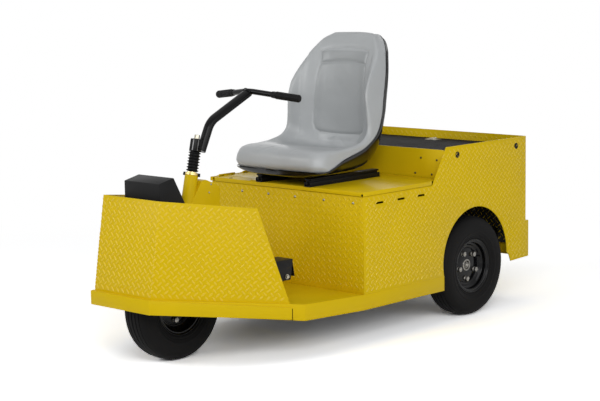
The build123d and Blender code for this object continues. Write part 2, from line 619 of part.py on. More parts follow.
deck_rear = REAR_X + PLATE + DECK_GAP
deck_half = IN_HALF - DECK_GAP
deck_pin_x = WALL_X - DECK_PIN_BACK
deck_z = DECK_Z - MAT_T
deck = box(deck_rear, deck_pin_x - DECK_GAP, -deck_half, deck_half, deck_z - DECK_T, deck_z)
wall = box(WALL_X - PLATE, WALL_X, -IN_HALF, IN_HALF, FRAME_TOP_Z, WALL_TOP_Z)
for y in DECK_HINGES_Y:
    fixed, moving = hinge(Pos(deck_pin_x, y, DECK_Z) * Rot(0, 0, -90), (DECK_PIN_BACK - PLATE, -LEAF_T, LEAF_T),
                          (DECK_LEAF, -MAT_T, LEAF_T / 2 - KNUCKLE_R))
    wall += fixed
    deck += moving
save("deck_plate", deck)
save("seat_wall", wall)
save("deck_mat", box(deck_rear, deck_pin_x - DECK_LEAF - CUT, -deck_half, deck_half, deck_z, DECK_Z))
ledge_top = deck_z - DECK_T - GAP
ledge = box(*LEDGE_END, IN_HALF - LEDGE_W, IN_HALF, ledge_top - LEDGE_T, ledge_top)
save("deck_ledges", Compound(children=[ledge, mirror_y(ledge)]))

# ======================= seat lid =======================
lid_front, lid_out = BODY_X + LID_OVER, HALF_W + LID_OVER
lid_back = SLANT_X + LID_NOTCH
pin_y = LID_PIN_IN - HALF_W
lid_right, strip_left = pin_y + LID_PIN_SLOT, pin_y - LID_PIN_SLOT
notch_y = IN_HALF - LID_WALL_GAP
lid = box(WALL_X + LID_WALL_GAP, lid_front, lid_right, notch_y, LID_Z - PLATE, LID_Z)
lid += box(lid_back, lid_front, notch_y, lid_out, LID_Z - PLATE, LID_Z)
lid += box(lid_back, lid_front, lid_out - PLATE, lid_out, LIP_Z, LID_Z)
lid += box(lid_front - PLATE, lid_front, lid_right, lid_out, LIP_Z, LID_Z)
strip = box(lid_back, lid_front, -lid_out, strip_left, LID_Z - PLATE, LID_Z)
strip += box(lid_back, lid_front, -lid_out, PLATE - lid_out, LIP_Z, LID_Z)
strip += box(lid_front - PLATE, lid_front, -lid_out, strip_left, LIP_Z, LID_Z)
strip += box(lid_back, BODY_X - PLATE, -IN_HALF, STRIP_FLANGE - IN_HALF, LIP_Z - FLANGE_DROP, LID_Z - PLATE)
lid_leaf = (LID_LEAF, -LID_PIN_UP, LEAF_T - LID_PIN_UP)
for x in LID_HINGES_X:
    fixed, moving = hinge(Pos(x, pin_y, LID_Z + LID_PIN_UP) * Rot(0, 0, 180), lid_leaf, lid_leaf)
    strip += fixed
    lid += moving
save("seat_lid", lid)
save("lid_hinge_strip", strip)

# ======================= seat =======================
seat_x = BODY_X + SEAT_OVER


def seat_section(row, right_half):
    # one section in its leaning plane: points (out, up) of its right half go round from top to bottom
    back, up, lean = row[:3]
    turn = radians(lean)
    points = right_half + [(-out, rise) for out, rise in reversed(right_half)]
    return outline([(seat_x - back + rise * sin(turn), out, LID_Z + up + rise * cos(turn)) for out, rise in points])


def pad_half(half, wing, rim, pad):
    return [(PAD_FLAT * half, 0), (PAD_SLOPE * half, wing / 2), (half - CREST_IN, wing), (half, wing - CREST_OVER),
            (half + RIM_OUT, wing - rim), (PAD_SLOPE * half, -pad)]


def shell_half(half, wing, rim, pad, shell):
    edge, floor = wing - rim - SHELL_GAP, -pad - SHELL_GAP
    return [(PAD_SLOPE * half, floor), (half + RIM_OUT, edge), (half + 2 * RIM_OUT, edge - SHELL_LIP),
            (PAD_SLOPE * half, floor - shell)]


rails = []
for y in (-RAIL_Y, RAIL_Y):
    rails.append(box(seat_x - RAIL_BACK[1], seat_x - RAIL_BACK[0], y - RAIL_HALF, y + RAIL_HALF, LID_Z,
                     LID_Z + RAIL_H))
save("seat_rails", Compound(children=rails))
save("seat_cushion", loft([seat_section(row, pad_half(*row[3:7])) for row in SEAT_SECTIONS], ruled=True))
save("seat_shell", loft([seat_section(row, shell_half(*row[3:])) for row in SEAT_SECTIONS], ruled=True))

# ======================= steering: shaft, fork, tiller =======================
save("steering_shaft", on_axis(rod(SHAFT_D, crown_top_s, clevis_s)))
fork = Pos(0, 0, crown_s + CROWN_T / 2) * Box(LEG_W, 2 * (LEG_IN + LEG_T), CROWN_T)
bolt = across(AXLE_D, -LEG_IN - LEG_T - RUN, LEG_IN + LEG_T + RUN)
for side in (-1, 1):
    fork += Pos(0, side * (LEG_IN + LEG_T / 2), (crown_top_s - LEG_BELOW) / 2) * Box(LEG_W, LEG_T,
                                                                                   crown_top_s + LEG_BELOW)
    head = side * (LEG_IN + LEG_T), side * (LEG_IN + LEG_T + AXLE_HEAD_T)
    bolt += across(AXLE_HEAD_D, min(head), max(head))
save("front_fork", on_axis(fork - across(AXLE_D, -HALF_W, HALF_W)))
save("front_axle", on_axis(bolt))

boot = rod(BOOT_ROOT_D, boot_s, clevis_s)
for k in range(BOOT_RIBS):
    rib_s = boot_s + (BOOT_L - (BOOT_RIBS - 1) * BOOT_PITCH) / 2 + k * BOOT_PITCH
    boot += rod(BOOT_D, rib_s - BOOT_RIB_W / 2, rib_s + BOOT_RIB_W / 2)
save("column_boot", on_axis(boot - rod(SHAFT_D + 2 * RUN, 0, SKY)))
clevis_place = Pos(0, 0, (clevis_s + clevis_top_s) / 2)
save("tiller_clevis", on_axis(clevis_place * Box(CLEVIS_X, CLEVIS_Y, CLEVIS_L)))
save("clevis_bolt", on_axis(rod(CLEVIS_BOLT_D, clevis_top_s, clevis_top_s + CLEVIS_BOLT_H)))

bar_x = WHEELBASE - BAR_BEHIND
arm_ends = [(WHEELBASE + ahead, 0, z) for ahead, z in (ARM_FOOT, ARM_KNEE)]
arm_path = FilletPolyline(arm_ends + [(bar_x, 0, BAR_Z - BAR_OVER_ARM)], radius=ARM_BEND)
arm = sweep(Plane(origin=arm_path @ 0, z_dir=arm_path % 0) * Circle(ARM_D / 2), path=arm_path)
arm -= on_axis(clevis_place * Box(CLEVIS_X, CLEVIS_Y, SKY / 4))
bar_path = FilletPolyline([(bar_x - BAR_BACK, -BAR_HALF, BAR_Z - BAR_DROP), (bar_x, 0, BAR_Z),
                           (bar_x - BAR_BACK, BAR_HALF, BAR_Z - BAR_DROP)], radius=BAR_BEND)
bar = sweep(Plane(origin=bar_path @ 0, z_dir=bar_path % 0) * Circle(BAR_D / 2), path=bar_path)
save("tiller_bar", bar + arm.solids().sort_by(SortBy.VOLUME)[-1])
grips = []
reach = Vector(-BAR_BACK, BAR_HALF, -BAR_DROP)
for side in (-1, 1):
    along = Vector(reach.X, side * reach.Y, reach.Z).normalized()
    end = Vector(bar_x, 0, BAR_Z) + along * (reach.length + GRIP_END)
    grip = Plane(origin=end, z_dir=along).location * Pos(0, 0, -GRIP_L / 2) * Cylinder(GRIP_D / 2, GRIP_L)
    grips.append(grip - bar)
save("tiller_grips", Compound(children=grips))

os.makedirs("parts", exist_ok=True)
for name, shape in nodes.items():
    export_step(shape, f"parts/{name}.step")
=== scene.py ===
import json
from math import atan2, cos, exp, hypot, pi, radians, sin, tan

import bmesh
import bpy
from mathutils import Matrix, Vector, noise
from mathutils.bvhtree import BVHTree

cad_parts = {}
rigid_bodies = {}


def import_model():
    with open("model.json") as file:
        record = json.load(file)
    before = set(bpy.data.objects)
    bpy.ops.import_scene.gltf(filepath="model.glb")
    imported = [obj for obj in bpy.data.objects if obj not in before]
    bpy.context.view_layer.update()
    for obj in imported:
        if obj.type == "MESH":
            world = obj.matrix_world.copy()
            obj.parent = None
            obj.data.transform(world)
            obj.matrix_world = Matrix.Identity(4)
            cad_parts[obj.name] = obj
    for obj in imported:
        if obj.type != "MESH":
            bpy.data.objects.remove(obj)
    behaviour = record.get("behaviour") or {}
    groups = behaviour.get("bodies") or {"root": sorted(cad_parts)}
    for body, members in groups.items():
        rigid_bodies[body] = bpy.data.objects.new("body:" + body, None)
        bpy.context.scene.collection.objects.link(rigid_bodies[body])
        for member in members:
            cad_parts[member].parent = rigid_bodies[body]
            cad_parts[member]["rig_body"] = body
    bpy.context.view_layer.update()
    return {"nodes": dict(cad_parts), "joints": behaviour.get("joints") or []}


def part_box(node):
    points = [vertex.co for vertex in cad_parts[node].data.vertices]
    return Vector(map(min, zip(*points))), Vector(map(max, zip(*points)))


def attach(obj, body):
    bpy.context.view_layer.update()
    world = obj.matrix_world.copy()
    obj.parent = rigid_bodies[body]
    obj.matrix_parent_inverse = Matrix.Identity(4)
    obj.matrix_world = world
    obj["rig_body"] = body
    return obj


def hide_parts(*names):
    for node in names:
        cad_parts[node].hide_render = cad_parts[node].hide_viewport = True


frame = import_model()
nodes = frame["nodes"]

# ---- studio ------------------------------------------------------------------------------
# A white floor under five soft lamps: a key ahead on the left, wide ones on the left, in front
# and behind, and a weak one on top. The camera stands ahead on the left, a little above the lid.
camera_at = Vector((4.8267, 4.4755, 1.4397))
view_azimuth, view_elevation, view_roll = radians(43.1), radians(8.0), radians(-0.9)
view_focal, view_width = 1639.0, 600
camera_data = bpy.data.cameras.new("camera")
camera_data.sensor_width = 36.0
camera_data.lens = view_focal / view_width * camera_data.sensor_width
camera_data.clip_end = 400.0
camera = bpy.data.objects.new("camera", camera_data)
bpy.context.scene.collection.objects.link(camera)
look = -Vector((cos(view_elevation) * cos(view_azimuth), cos(view_elevation) * sin(view_azimuth),
                sin(view_elevation)))
camera.rotation_mode = "QUATERNION"
camera.rotation_quaternion = (Matrix.Rotation(-view_roll, 3, look).to_quaternion()
                              @ look.to_track_quat("-Z", "Y"))
camera.location = camera_at
bpy.context.scene.camera = camera
bpy.context.scene.view_settings.view_transform = "Standard"


def lamp(name, place, aim, size, power):
    data = bpy.data.lights.new(name, "AREA")
    data.shape, data.size, data.size_y = "RECTANGLE", size[0], size[1]
    data.energy = power
    lamp_object = bpy.data.objects.new(name, data)
    lamp_object.location = place
    lamp_object.rotation_euler = (Vector(aim) - Vector(place)).to_track_quat("-Z", "Y").to_euler()
    bpy.context.scene.collection.objects.link(lamp_object)


lamp("key", (3.6, 4.2, 3.0), (0.0, 0.0, 0.5), (3.0, 2.6), 128.0)
lamp("left_wide", (0.1, 5.4, 2.0), (-0.1, 0.0, 0.4), (4.6, 2.2), 68.0)
lamp("front_wide", (4.9, -2.2, 2.8), (0.0, 0.0, 0.4), (3.0, 2.0), 96.0)
lamp("top", (0.2, 0.2, 4.6), (0.0, 0.0, 0.5), (4.2, 3.2), 20.0)
lamp("rear_wide", (-5.0, -2.2, 1.8), (0.0, 0.0, 0.4), (4.4, 1.8), 32.0)


def add_node(tree, kind, inputs, **settings):
    # a shader node; each input gets a value, or a link when it is given another node's output
    added = tree.nodes.new(f"ShaderNode{kind}")
    for setting, value in settings.items():
        setattr(added, setting, value)
    for name, given in inputs.items():
        if isinstance(given, bpy.types.NodeSocket):
            tree.links.new(given, added.inputs[name])
        else:
            added.inputs[name].default_value = given
    return added


def seen_directly(tree):
    # 1 for camera, glossy and transmission rays, else 0
    rays = add_node(tree, "LightPath", {}).outputs
    seen = add_node(tree, "Math", {0: rays["Is Camera Ray"], 1: rays["Is Glossy Ray"]}, operation="MAXIMUM")
    seen = add_node(tree, "Math", {0: seen.outputs[0], 1: rays["Is Transmission Ray"]}, operation="MAXIMUM")
    return seen.outputs[0]


world = bpy.data.worlds.new("studio")
bpy.context.scene.world = world
world.use_nodes = True
tree = world.node_tree
tree.nodes.clear()
soft = add_node(tree, "Background", {"Color": (0.95, 0.97, 1.0, 1.0), "Strength": 0.19})
white = add_node(tree, "Background", {"Color": (1.0, 1.0, 1.0, 1.0)})
mix = add_node(tree, "MixShader", {"Fac": seen_directly(tree), 1: soft.outputs[0], 2: white.outputs[0]})
add_node(tree, "OutputWorld", {"Surface": mix.outputs[0]})

floor_radius, fade_from, fade_to = 150.0, 1.4, 3.2
floor_mesh = bpy.data.meshes.new("floor")
shape = bmesh.new()
bmesh.ops.create_circle(shape, cap_ends=True, segments=64, radius=floor_radius)
shape.to_mesh(floor_mesh)
shape.free()
floor = bpy.data.objects.new("floor", floor_mesh)
bpy.context.scene.collection.objects.link(floor)
# the camera sees the floor white, its bounce stays that of pale paper, and far off it is plain white
paper = bpy.data.materials.new("floor_paper")
paper.use_nodes = True
tree = paper.node_tree
tree.nodes.clear()
matt = add_node(tree, "BsdfDiffuse", {"Color": (0.80, 0.80, 0.80, 1.0)})
bright = add_node(tree, "BsdfDiffuse", {"Color": (2.2, 2.2, 2.2, 1.0)})
lit = add_node(tree, "MixShader", {"Fac": seen_directly(tree), 1: matt.outputs[0], 2: bright.outputs[0]})
far = add_node(tree, "Emission", {"Color": (1.0, 1.0, 1.0, 1.0)})
place = add_node(tree, "TexCoord", {})
distance = add_node(tree, "VectorMath", {0: place.outputs["Object"]}, operation="LENGTH")
fade = add_node(tree, "MapRange", {"Value": distance.outputs["Value"], "From Min": fade_from,
                                   "From Max": fade_to}, interpolation_type="SMOOTHSTEP")
faded = add_node(tree, "Math", {0: fade.outputs[0], 1: seen_directly(tree)}, operation="MULTIPLY")
mix = add_node(tree, "MixShader", {"Fac": faded.outputs[0], 1: lit.outputs[0], 2: far.outputs[0]})
add_node(tree, "OutputMaterial", {"Surface": mix.outputs[0]})
floor_mesh.materials.append(paper)

# ---- yellow sheet metal ------------------------------------------------------------------
# The pan, bumper strip, seat lid, panels and wheel well are sheared and folded 3 mm steel, welded
# up and sprayed with gloss yellow enamel, with every edge broken. Their undersides and the insides
# of the body sides round the wheels carry a near-black coat of painted shade.
yellow = (0.70, 0.487, 0.005, 1.0)
enamel_sheets = ("floor_pan", "bumper_strip", "front_shield", "wheel_well", "column_pedestal",
                 "left_side_panel", "right_side_panel", "front_panel", "rear_panel", "rear_bumper",
                 "seat_wall", "seat_lid", "lid_hinge_strip")


def finish_material(name, color, roughness, coat=0.0, metal=0.0, grain=(), mottle=0.0, shine=0.3):
    # a Principled surface; grain is (size in m, height in m), mottle varies colour and gloss in soft spots
    material = bpy.data.materials.new(name)
    material.use_nodes = True
    tree = material.node_tree
    shader = tree.nodes["Principled BSDF"]
    for setting, value in (("Base Color", color), ("Roughness", roughness), ("Coat Weight", coat),
                           ("Coat Roughness", 0.12), ("Metallic", metal),
                           ("Specular IOR Level", 0.5 if metal else shine)):
        shader.inputs[setting].default_value = value
    place = add_node(tree, "TexCoord", {}).outputs["Object"]
    if mottle:
        clouds = add_node(tree, "TexNoise", {"Vector": place, "Scale": 7.0, "Detail": 5.0}).outputs["Fac"]
        shade = add_node(tree, "MapRange", {"Value": clouds, "To Min": 1.0 - mottle, "To Max": 1.0 + mottle})
        tint = add_node(tree, "VectorMath", {0: color[:3], "Scale": shade.outputs[0]}, operation="SCALE")
        gloss = add_node(tree, "MapRange", {"Value": clouds, "To Min": max(0.05, roughness - 0.08),
                                            "To Max": roughness + 0.10})
        tree.links.new(tint.outputs[0], shader.inputs["Base Color"])
        tree.links.new(gloss.outputs[0], shader.inputs["Roughness"])
    if grain:
        size, height = grain
        ripple = add_node(tree, "TexNoise", {"Vector": place, "Scale": 1.0 / size, "Detail": 3.0})
        bump = add_node(tree, "Bump", {"Height": ripple.outputs["Fac"], "Distance": height})
        tree.links.new(bump.outputs[0], shader.inputs["Normal"])
    return material


enamel = finish_material("yellow_enamel", yellow, 0.32, grain=(0.004, 0.00006), mottle=0.045, shine=0.07)


def add_piece(name, shape, material, body, smooth=40.0):
    # turns a finished bmesh into a piece that rides on a body; faces that meet below the angle look smooth
    mesh = bpy.data.meshes.new(name)
    shape.to_mesh(mesh)
    shape.free()
    mesh.materials.append(material)
    mesh.polygons.foreach_set("use_smooth", [True] * len(mesh.polygons))
    mesh.set_sharp_from_angle(angle=radians(smooth))
    piece = bpy.data.objects.new(name, mesh)
    bpy.context.scene.collection.objects.link(piece)
    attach(piece, body)
    return piece


def broken_edges(node, width, name, material):
    # the node's own sheet with its sharp edges rounded by width
    shape = bmesh.new()
    shape.from_mesh(nodes[node].data)
    bmesh.ops.remove_doubles(shape, verts=shape.verts, dist=0.00002)
    bmesh.ops.dissolve_limit(shape, angle_limit=radians(0.5), verts=shape.verts, edges=shape.edges)
    sharp = [e for e in shape.edges if len(e.link_faces) == 2 and e.calc_face_angle() > radians(25)]
    bmesh.ops.bevel(shape, geom=sharp, offset=width, segments=2, profile=0.5, affect="EDGES",
                    clamp_overlap=True, material=-1)
    piece = add_piece(name, shape, material, nodes[node]["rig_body"], smooth=35.0)
    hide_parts(node)
    return piece


for node in enamel_sheets:
    broken_edges(node, 0.0008, f"{node}_sheet", enamel)

# painted shade: a near-black coat that stands in for the shade under the body and inside the wheel arches
painted_shade_coat = finish_material("painted_shade_coat", (0.045, 0.045, 0.047, 1.0), 0.75, grain=(0.006, 0.0006), mottle=0.15,
                            shine=0.15)
painted_shade_depth, arch_top = 0.0005, 0.52


def mesh_shape(mesh):
    # a bmesh of a mesh that isn't needed after it
    shape = bmesh.new()
    shape.from_mesh(mesh)
    bpy.data.meshes.remove(mesh)
    return shape


# one coat of painted shade over every face of these sheets that looks the given way, up to a height; it
# darkens the wheel arches and the floor's shadow under the body
shape = bmesh.new()
for node, way, top in (("floor_pan", (0, 0, -1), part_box("floor_pan")[1].z),
                       ("left_side_panel", (0, -1, 0), arch_top),
                       ("right_side_panel", (0, 1, 0), arch_top), ("rear_panel", (1, 0, 0), arch_top)):
    skin = bmesh.new()
    skin.from_mesh(nodes[node].data)
    skin.normal_update()
    bmesh.ops.delete(skin, geom=[f for f in skin.faces if f.normal.dot(Vector(way)) < 0.98], context="FACES")
    bmesh.ops.bisect_plane(skin, geom=skin.verts[:] + skin.edges[:] + skin.faces[:], plane_co=(0, 0, top),
                           plane_no=(0, 0, 1), clear_outer=True)
    bmesh.ops.dissolve_limit(skin, angle_limit=radians(0.5), verts=skin.verts, edges=skin.edges)
    bmesh.ops.solidify(skin, geom=skin.faces[:], thickness=-painted_shade_depth)
    bmesh.ops.recalc_face_normals(skin, faces=skin.faces)
    layer = bpy.data.meshes.new(node)
    skin.to_mesh(layer)
    skin.free()
    shape.from_mesh(layer)
    bpy.data.meshes.remove(layer)
add_piece("painted_shade_skin", shape, painted_shade_coat, "chassis")

# ---- raised lugs of the tread plate ------------------------------------------------------
# Shield, body sides, front and rear panels are rolled tread plate: pointed lugs stand 1.1 to 2 mm
# proud, each with its tip towards the middle of a square-on neighbour. The shield's plate is
# folded after rolling, so the pattern runs round both creases, stretched to short lugs on them.
# the lugs wear a copy of the yellow enamel made a touch lighter, as painted highlight, and glossier
lug_enamel_painted_highlight = finish_material("lug_enamel_painted_highlight", (0.73, 0.51, 0.006, 1.0), 0.28, grain=(0.004, 0.00004),
                             mottle=0.03, shine=0.45)
lug_pitch, lug_half = 0.014, 0.0115
crease_lug_half, crease_lug_width, crease_lug_height = 0.0058, 0.0022, 0.0016
crease_lugs, crease_end = 24, 0.008    # the most lugs each way along a fold, and how near its end they come
# rays find the plate: how far above it they start, and how far off it may lie on a flat and on a fold
ray_start, plate_slack, crease_slack = 0.02, 0.0020, 0.003
foot_ring = [(1.0, 0.0), (0.58, 0.80), (0.0, 1.0), (-0.58, 0.80), (-1.0, 0.0), (-0.58, -0.80), (0.0, -1.0),
             (0.58, -0.80)]
lug_points = ([(s, w, -0.16) for s, w in foot_ring]
              + [(0.86 * s, 0.66 * w, 0.72) for s, w in foot_ring]
              + [(0.5, 0, 1.0), (0, 0, 1.0), (-0.5, 0, 1.0)])
lug_faces = ([(i, (i + 1) % 8, 8 + (i + 1) % 8, 8 + i) for i in range(8)]
             + [(8, 9, 16), (9, 10, 17, 16), (10, 11, 18, 17), (11, 12, 18), (12, 13, 18), (13, 14, 17, 18),
                (14, 15, 16, 17), (15, 8, 16), tuple(range(7, -1, -1))])


def tread_lugs(name, node, corner, along, normal, size, creases=(), lug_width=0.0034, lug_height=0.0014):
    # size is the (low, high) reach along and up from the corner; a crease is (point, axis, angle, way out)
    along, normal = Vector(along).normalized(), Vector(normal).normalized()
    up = normal.cross(along)
    sheet_mesh = nodes[node].data
    plate = BVHTree.FromPolygons([v.co for v in sheet_mesh.vertices],
                                 [f.vertices for f in sheet_mesh.polygons])

    def folded(p, h):
        for point, axis, angle, outward in creases:
            if (p - point).dot(outward) > 0:
                turn = Matrix.Rotation(angle, 3, axis)
                return point + turn @ (p - point) + turn @ normal * h, turn @ normal
        return p + normal * h, normal

    def on_plate(p):
        q, way = folded(p, 0.0)
        at, facing, _, distance = plate.ray_cast(q + way * ray_start, -way)
        return at is not None and abs(distance - ray_start) < plate_slack and facing.dot(way) > 0.86

    points, faces = [], []
    (a0, a1), (u0, u1) = size
    for row in range(int(u0 // lug_pitch), int(u1 // lug_pitch) + 2):
        for column in range(int(a0 // lug_pitch), int(a1 // lug_pitch) + 2):
            if (row + column) % 2:
                continue
            middle = Vector(corner) + (along * (column + 0.35) + up * (row + 0.35)) * lug_pitch
            reach = (along + up * (1 if row % 2 else -1)).normalized()
            side = normal.cross(reach)
            if not all(on_plate(middle + reach * lug_half * s)
                       for s in (-1.1, -0.7, -0.35, 0.0, 0.35, 0.7, 1.1)):
                continue
            first = len(points)
            points += [folded(middle + reach * (s * lug_half) + side * (w * lug_width), h * lug_height)[0]
                       for s, w, h in lug_points]
            faces += [[first + i for i in f] for f in lug_faces]
    # short lugs of the pattern stretched round each fold
    for point, axis, angle, outward in creases:
        bend = (Matrix.Rotation(angle / 2, 3, axis) @ normal).normalized()
        side = axis.cross(bend)
        for k in range(-crease_lugs, crease_lugs + 1):
            middle = point + axis * (k + 0.5) * lug_pitch
            at, _, _, distance = plate.ray_cast(middle + bend * ray_start, -bend)
            ends = [plate.ray_cast(middle + axis * way + bend * ray_start, -bend)[0]
                    for way in (-crease_end, crease_end)]
            if at is None or None in ends or abs(distance - ray_start) > crease_slack:
                continue
            first = len(points)
            points += [at + axis * (s * crease_lug_half) + side * (w * crease_lug_width)
                       + bend * (h * crease_lug_height)
                       for s, w, h in lug_points]
            faces += [[first + i for i in f] for f in lug_faces]
    mesh = bpy.data.meshes.new(name)
    mesh.from_pydata(points, [], faces)
    shape = mesh_shape(mesh)
    bmesh.ops.recalc_face_normals(shape, faces=shape.faces)
    add_piece(name, shape, lug_enamel_painted_highlight, "chassis", smooth=30.0)


for side, node in ((1, "left_side_panel"), (-1, "right_side_panel")):
    low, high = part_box(node)
    corner = (high.x, high.y, low.z) if side > 0 else (low.x, low.y, low.z)
    tread_lugs(f"{node}_lugs", node, corner, (-side, 0, 0), (0, side, 0),
               ((0, high.x - low.x), (0, high.z - low.z)))
low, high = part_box("front_panel")
tread_lugs("front_panel_lugs", "front_panel", (high.x, low.y, low.z), (0, 1, 0), (1, 0, 0),
           ((0, high.y - low.y), (0, high.z - low.z)), lug_height=0.0011)
low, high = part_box("rear_panel")
tread_lugs("rear_panel_lugs", "rear_panel", (low.x, high.y, low.z), (0, -1, 0), (-1, 0, 0),
           ((0, high.y - low.y), (0, high.z - low.z)))
tread_lugs("rear_panel_inner_lugs", "rear_panel", (high.x, low.y, low.z), (0, 1, 0), (1, 0, 0),
           ((0, high.y - low.y), (0, high.z - low.z)))

# the shield's front face and wings, from the sheet itself: the largest outward faces
shield = nodes["front_shield"].data
areas = {}
for polygon in shield.polygons:
    key = tuple(round(c, 2) for c in polygon.normal)
    areas[key] = areas.get(key, 0.0) + polygon.area


def outer_face(wanted):
    # the normal of the largest face of the sheet that looks the wanted way, and a point on it
    key = max((k for k in areas if Vector(k).dot(wanted) > 0.8), key=areas.get)
    face = max((f for f in shield.polygons if (f.normal - Vector(key)).length < 0.02), key=lambda f: f.area)
    return face.normal.copy(), face.center.copy()


front, front_point = outer_face(Vector((0.98, 0, 0.15)))
creases = []
for side in (1, -1):
    wing, wing_point = outer_face(Vector((0.43, 0.9 * side, 0.05)).normalized())
    axis = front.cross(wing).normalized()
    # a point where both planes meet: solved in the span of the two normals
    front_reach, wing_reach, c = front.dot(front_point), wing.dot(wing_point), front.dot(wing)
    point = (front * ((front_reach - c * wing_reach) / (1 - c * c))
             + wing * ((wing_reach - c * front_reach) / (1 - c * c)))
    outward = axis.cross(front)
    outward = outward if outward.y * side > 0 else -outward
    creases.append((point, axis, front.angle(wing), outward))
low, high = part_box("front_shield")
tread_lugs("front_shield_lugs", "front_shield", front_point, (0, 1, 0), front,
           ((-0.75, 0.75), (-0.6, 0.6)), creases, lug_width=0.0042, lug_height=0.0020)

# ---- screws, rivets and small openings ---------------------------------------------------
# Six zinc button-head screws hold the front panel and four rivets the wall behind the seat.
# The lid has one lifting hole, a catch tab and a relief hole in its folded corner; the bumper
# strip is cut and rejoined near its left end, which leaves a slit. Holes and slit are drawn as flat
# black pieces of painted shade.
zinc = finish_material("zinc_plate", (0.34, 0.32, 0.26, 1.0), 0.34, metal=1.0, grain=(0.0006, 0.00002),
                       mottle=0.06)
# painted shade: near-black, for the dark insides of the holes and the slit
hole_shade = finish_material("unlit_hollow", (0.004, 0.004, 0.004, 1.0), 0.80, grain=(0.001, 0.00002), shine=0.0)


def turned(shape, profile, centre, axis, steps=32, ring=False):
    # spins a profile of (radius, along) pairs about an axis through the centre; a ring's profile is closed
    axis = Vector(axis).normalized()
    side = axis.orthogonal().normalized()
    verts = [shape.verts.new(Vector(centre) + side * r + axis * h) for r, h in profile]
    edges = [shape.edges.new(pair) for pair in zip(verts, verts[1:] + (verts[:1] if ring else []))]
    bmesh.ops.spin(shape, geom=verts + edges, cent=centre, axis=axis, angle=2 * pi, steps=steps,
                   use_merge=True)


def closed_piece(name, shape, material, body, smooth=40.0):
    # merges the poles and seams of a built-up mesh and turns its faces outward before it becomes a piece
    bmesh.ops.remove_doubles(shape, verts=shape.verts, dist=0.000002)
    bmesh.ops.recalc_face_normals(shape, faces=shape.faces)
    return add_piece(name, shape, material, body, smooth)


def button_screw(shape, centre, axis, radius, height):
    # a domed head with a round drive recess
    recess, dome = [(0, 0.35), (0.34, 0.35)], [(0.38, 1.0), (0.70, 0.86), (0.92, 0.50), (1.0, 0.10),
                                               (1.0, 0), (0, 0)]
    turned(shape, [(radius * r, height * h) for r, h in recess + dome], centre, axis, 20)


def round_plate(shape, centre, axis, radius, thickness, steps=24):
    turned(shape, [(0, thickness), (radius, thickness), (radius, 0), (0, 0)], centre, axis, steps)


bronzed = finish_material("bronzed_rivet", (0.11, 0.085, 0.035, 1.0), 0.38, metal=1.0,
                          grain=(0.0006, 0.00003))
panel_front, lid_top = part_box("front_panel")[1].x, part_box("seat_rails")[0].z
screw_drop, screw_across = 0.045, (-0.390, -0.238, -0.089, 0.058, 0.212, 0.364)
shape = bmesh.new()
for y in screw_across:
    button_screw(shape, (panel_front, y, lid_top - screw_drop), (1, 0, 0), 0.0055, 0.0034)
closed_piece("front_panel_screws", shape, zinc, "chassis")
wall_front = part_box("seat_wall")[1].x
rivet_places = ((0.296, 0.674), (0.378, 0.669), (0.266, 0.610), (0.352, 0.609))
shape = bmesh.new()
for y, z in rivet_places:
    for side in (1, -1):
        button_screw(shape, (wall_front, side * y, z), (1, 0, 0), 0.0048, 0.0026)
closed_piece("wall_rivets", shape, bronzed, "chassis")
lid_front, lid_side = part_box("seat_lid")[1].x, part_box("seat_lid")[1].y
# the lid's two holes: thin black discs of painted shade on the sheet
shape = bmesh.new()
round_plate(shape, (lid_front - 0.015, -0.314, lid_top), (0, 0, 1), 0.0085, 0.0004)
round_plate(shape, (lid_front, lid_side - 0.006, lid_top - 0.011), (1, 0, 0), 0.0045, 0.0003, 20)
closed_piece("lid_holes", shape, hole_shade, "seat_deck")


def block(shape, low, high, round_by=0.0, segments=2, place=None):
    # a bar between two corners, its edges rounded, then set in place by a matrix
    low, high = Vector(low), Vector(high)
    made = bmesh.ops.create_cube(shape, size=1.0,
                                 matrix=Matrix.Translation((low + high) / 2)
                                 @ Matrix.Diagonal((*(high - low), 1.0)))
    verts = made["verts"]
    if place:
        bmesh.ops.transform(shape, matrix=place, verts=verts)
    if round_by:
        bmesh.ops.bevel(shape, geom=list({e for v in verts for e in v.link_edges}), offset=round_by,
                        segments=segments, profile=0.5, affect="EDGES", clamp_overlap=True, material=-1)


shape = bmesh.new()
block(shape, (lid_front - 0.034, -0.192, lid_top), (lid_front - 0.006, -0.154, lid_top + 0.0035), 0.0010)
closed_piece("lid_catch_tab", shape, enamel, "seat_deck")
strip_low, strip_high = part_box("bumper_strip")
strip_end = Vector((strip_low.x, strip_high.y - 0.0044, 0))
nose_corner = Vector((strip_high.x - 0.005, 0.158, 0))
way = (nose_corner - strip_end).normalized()
out = Vector((-way.y, way.x, 0))
shape = bmesh.new()
slit_frame = (Matrix.Translation(strip_end + way * 0.008)
              @ Matrix(((way.x, out.x, 0, 0), (way.y, out.y, 0, 0), (0, 0, 1, 0), (0, 0, 0, 1))))
# the slit: a thin black block of painted shade across the strip
block(shape, (-0.0013, 0.0020, strip_low.z - 0.002), (0.0013, 0.0056, strip_low.z + 0.0435), place=slit_frame)
closed_piece("strip_slit", shape, hole_shade, "chassis")

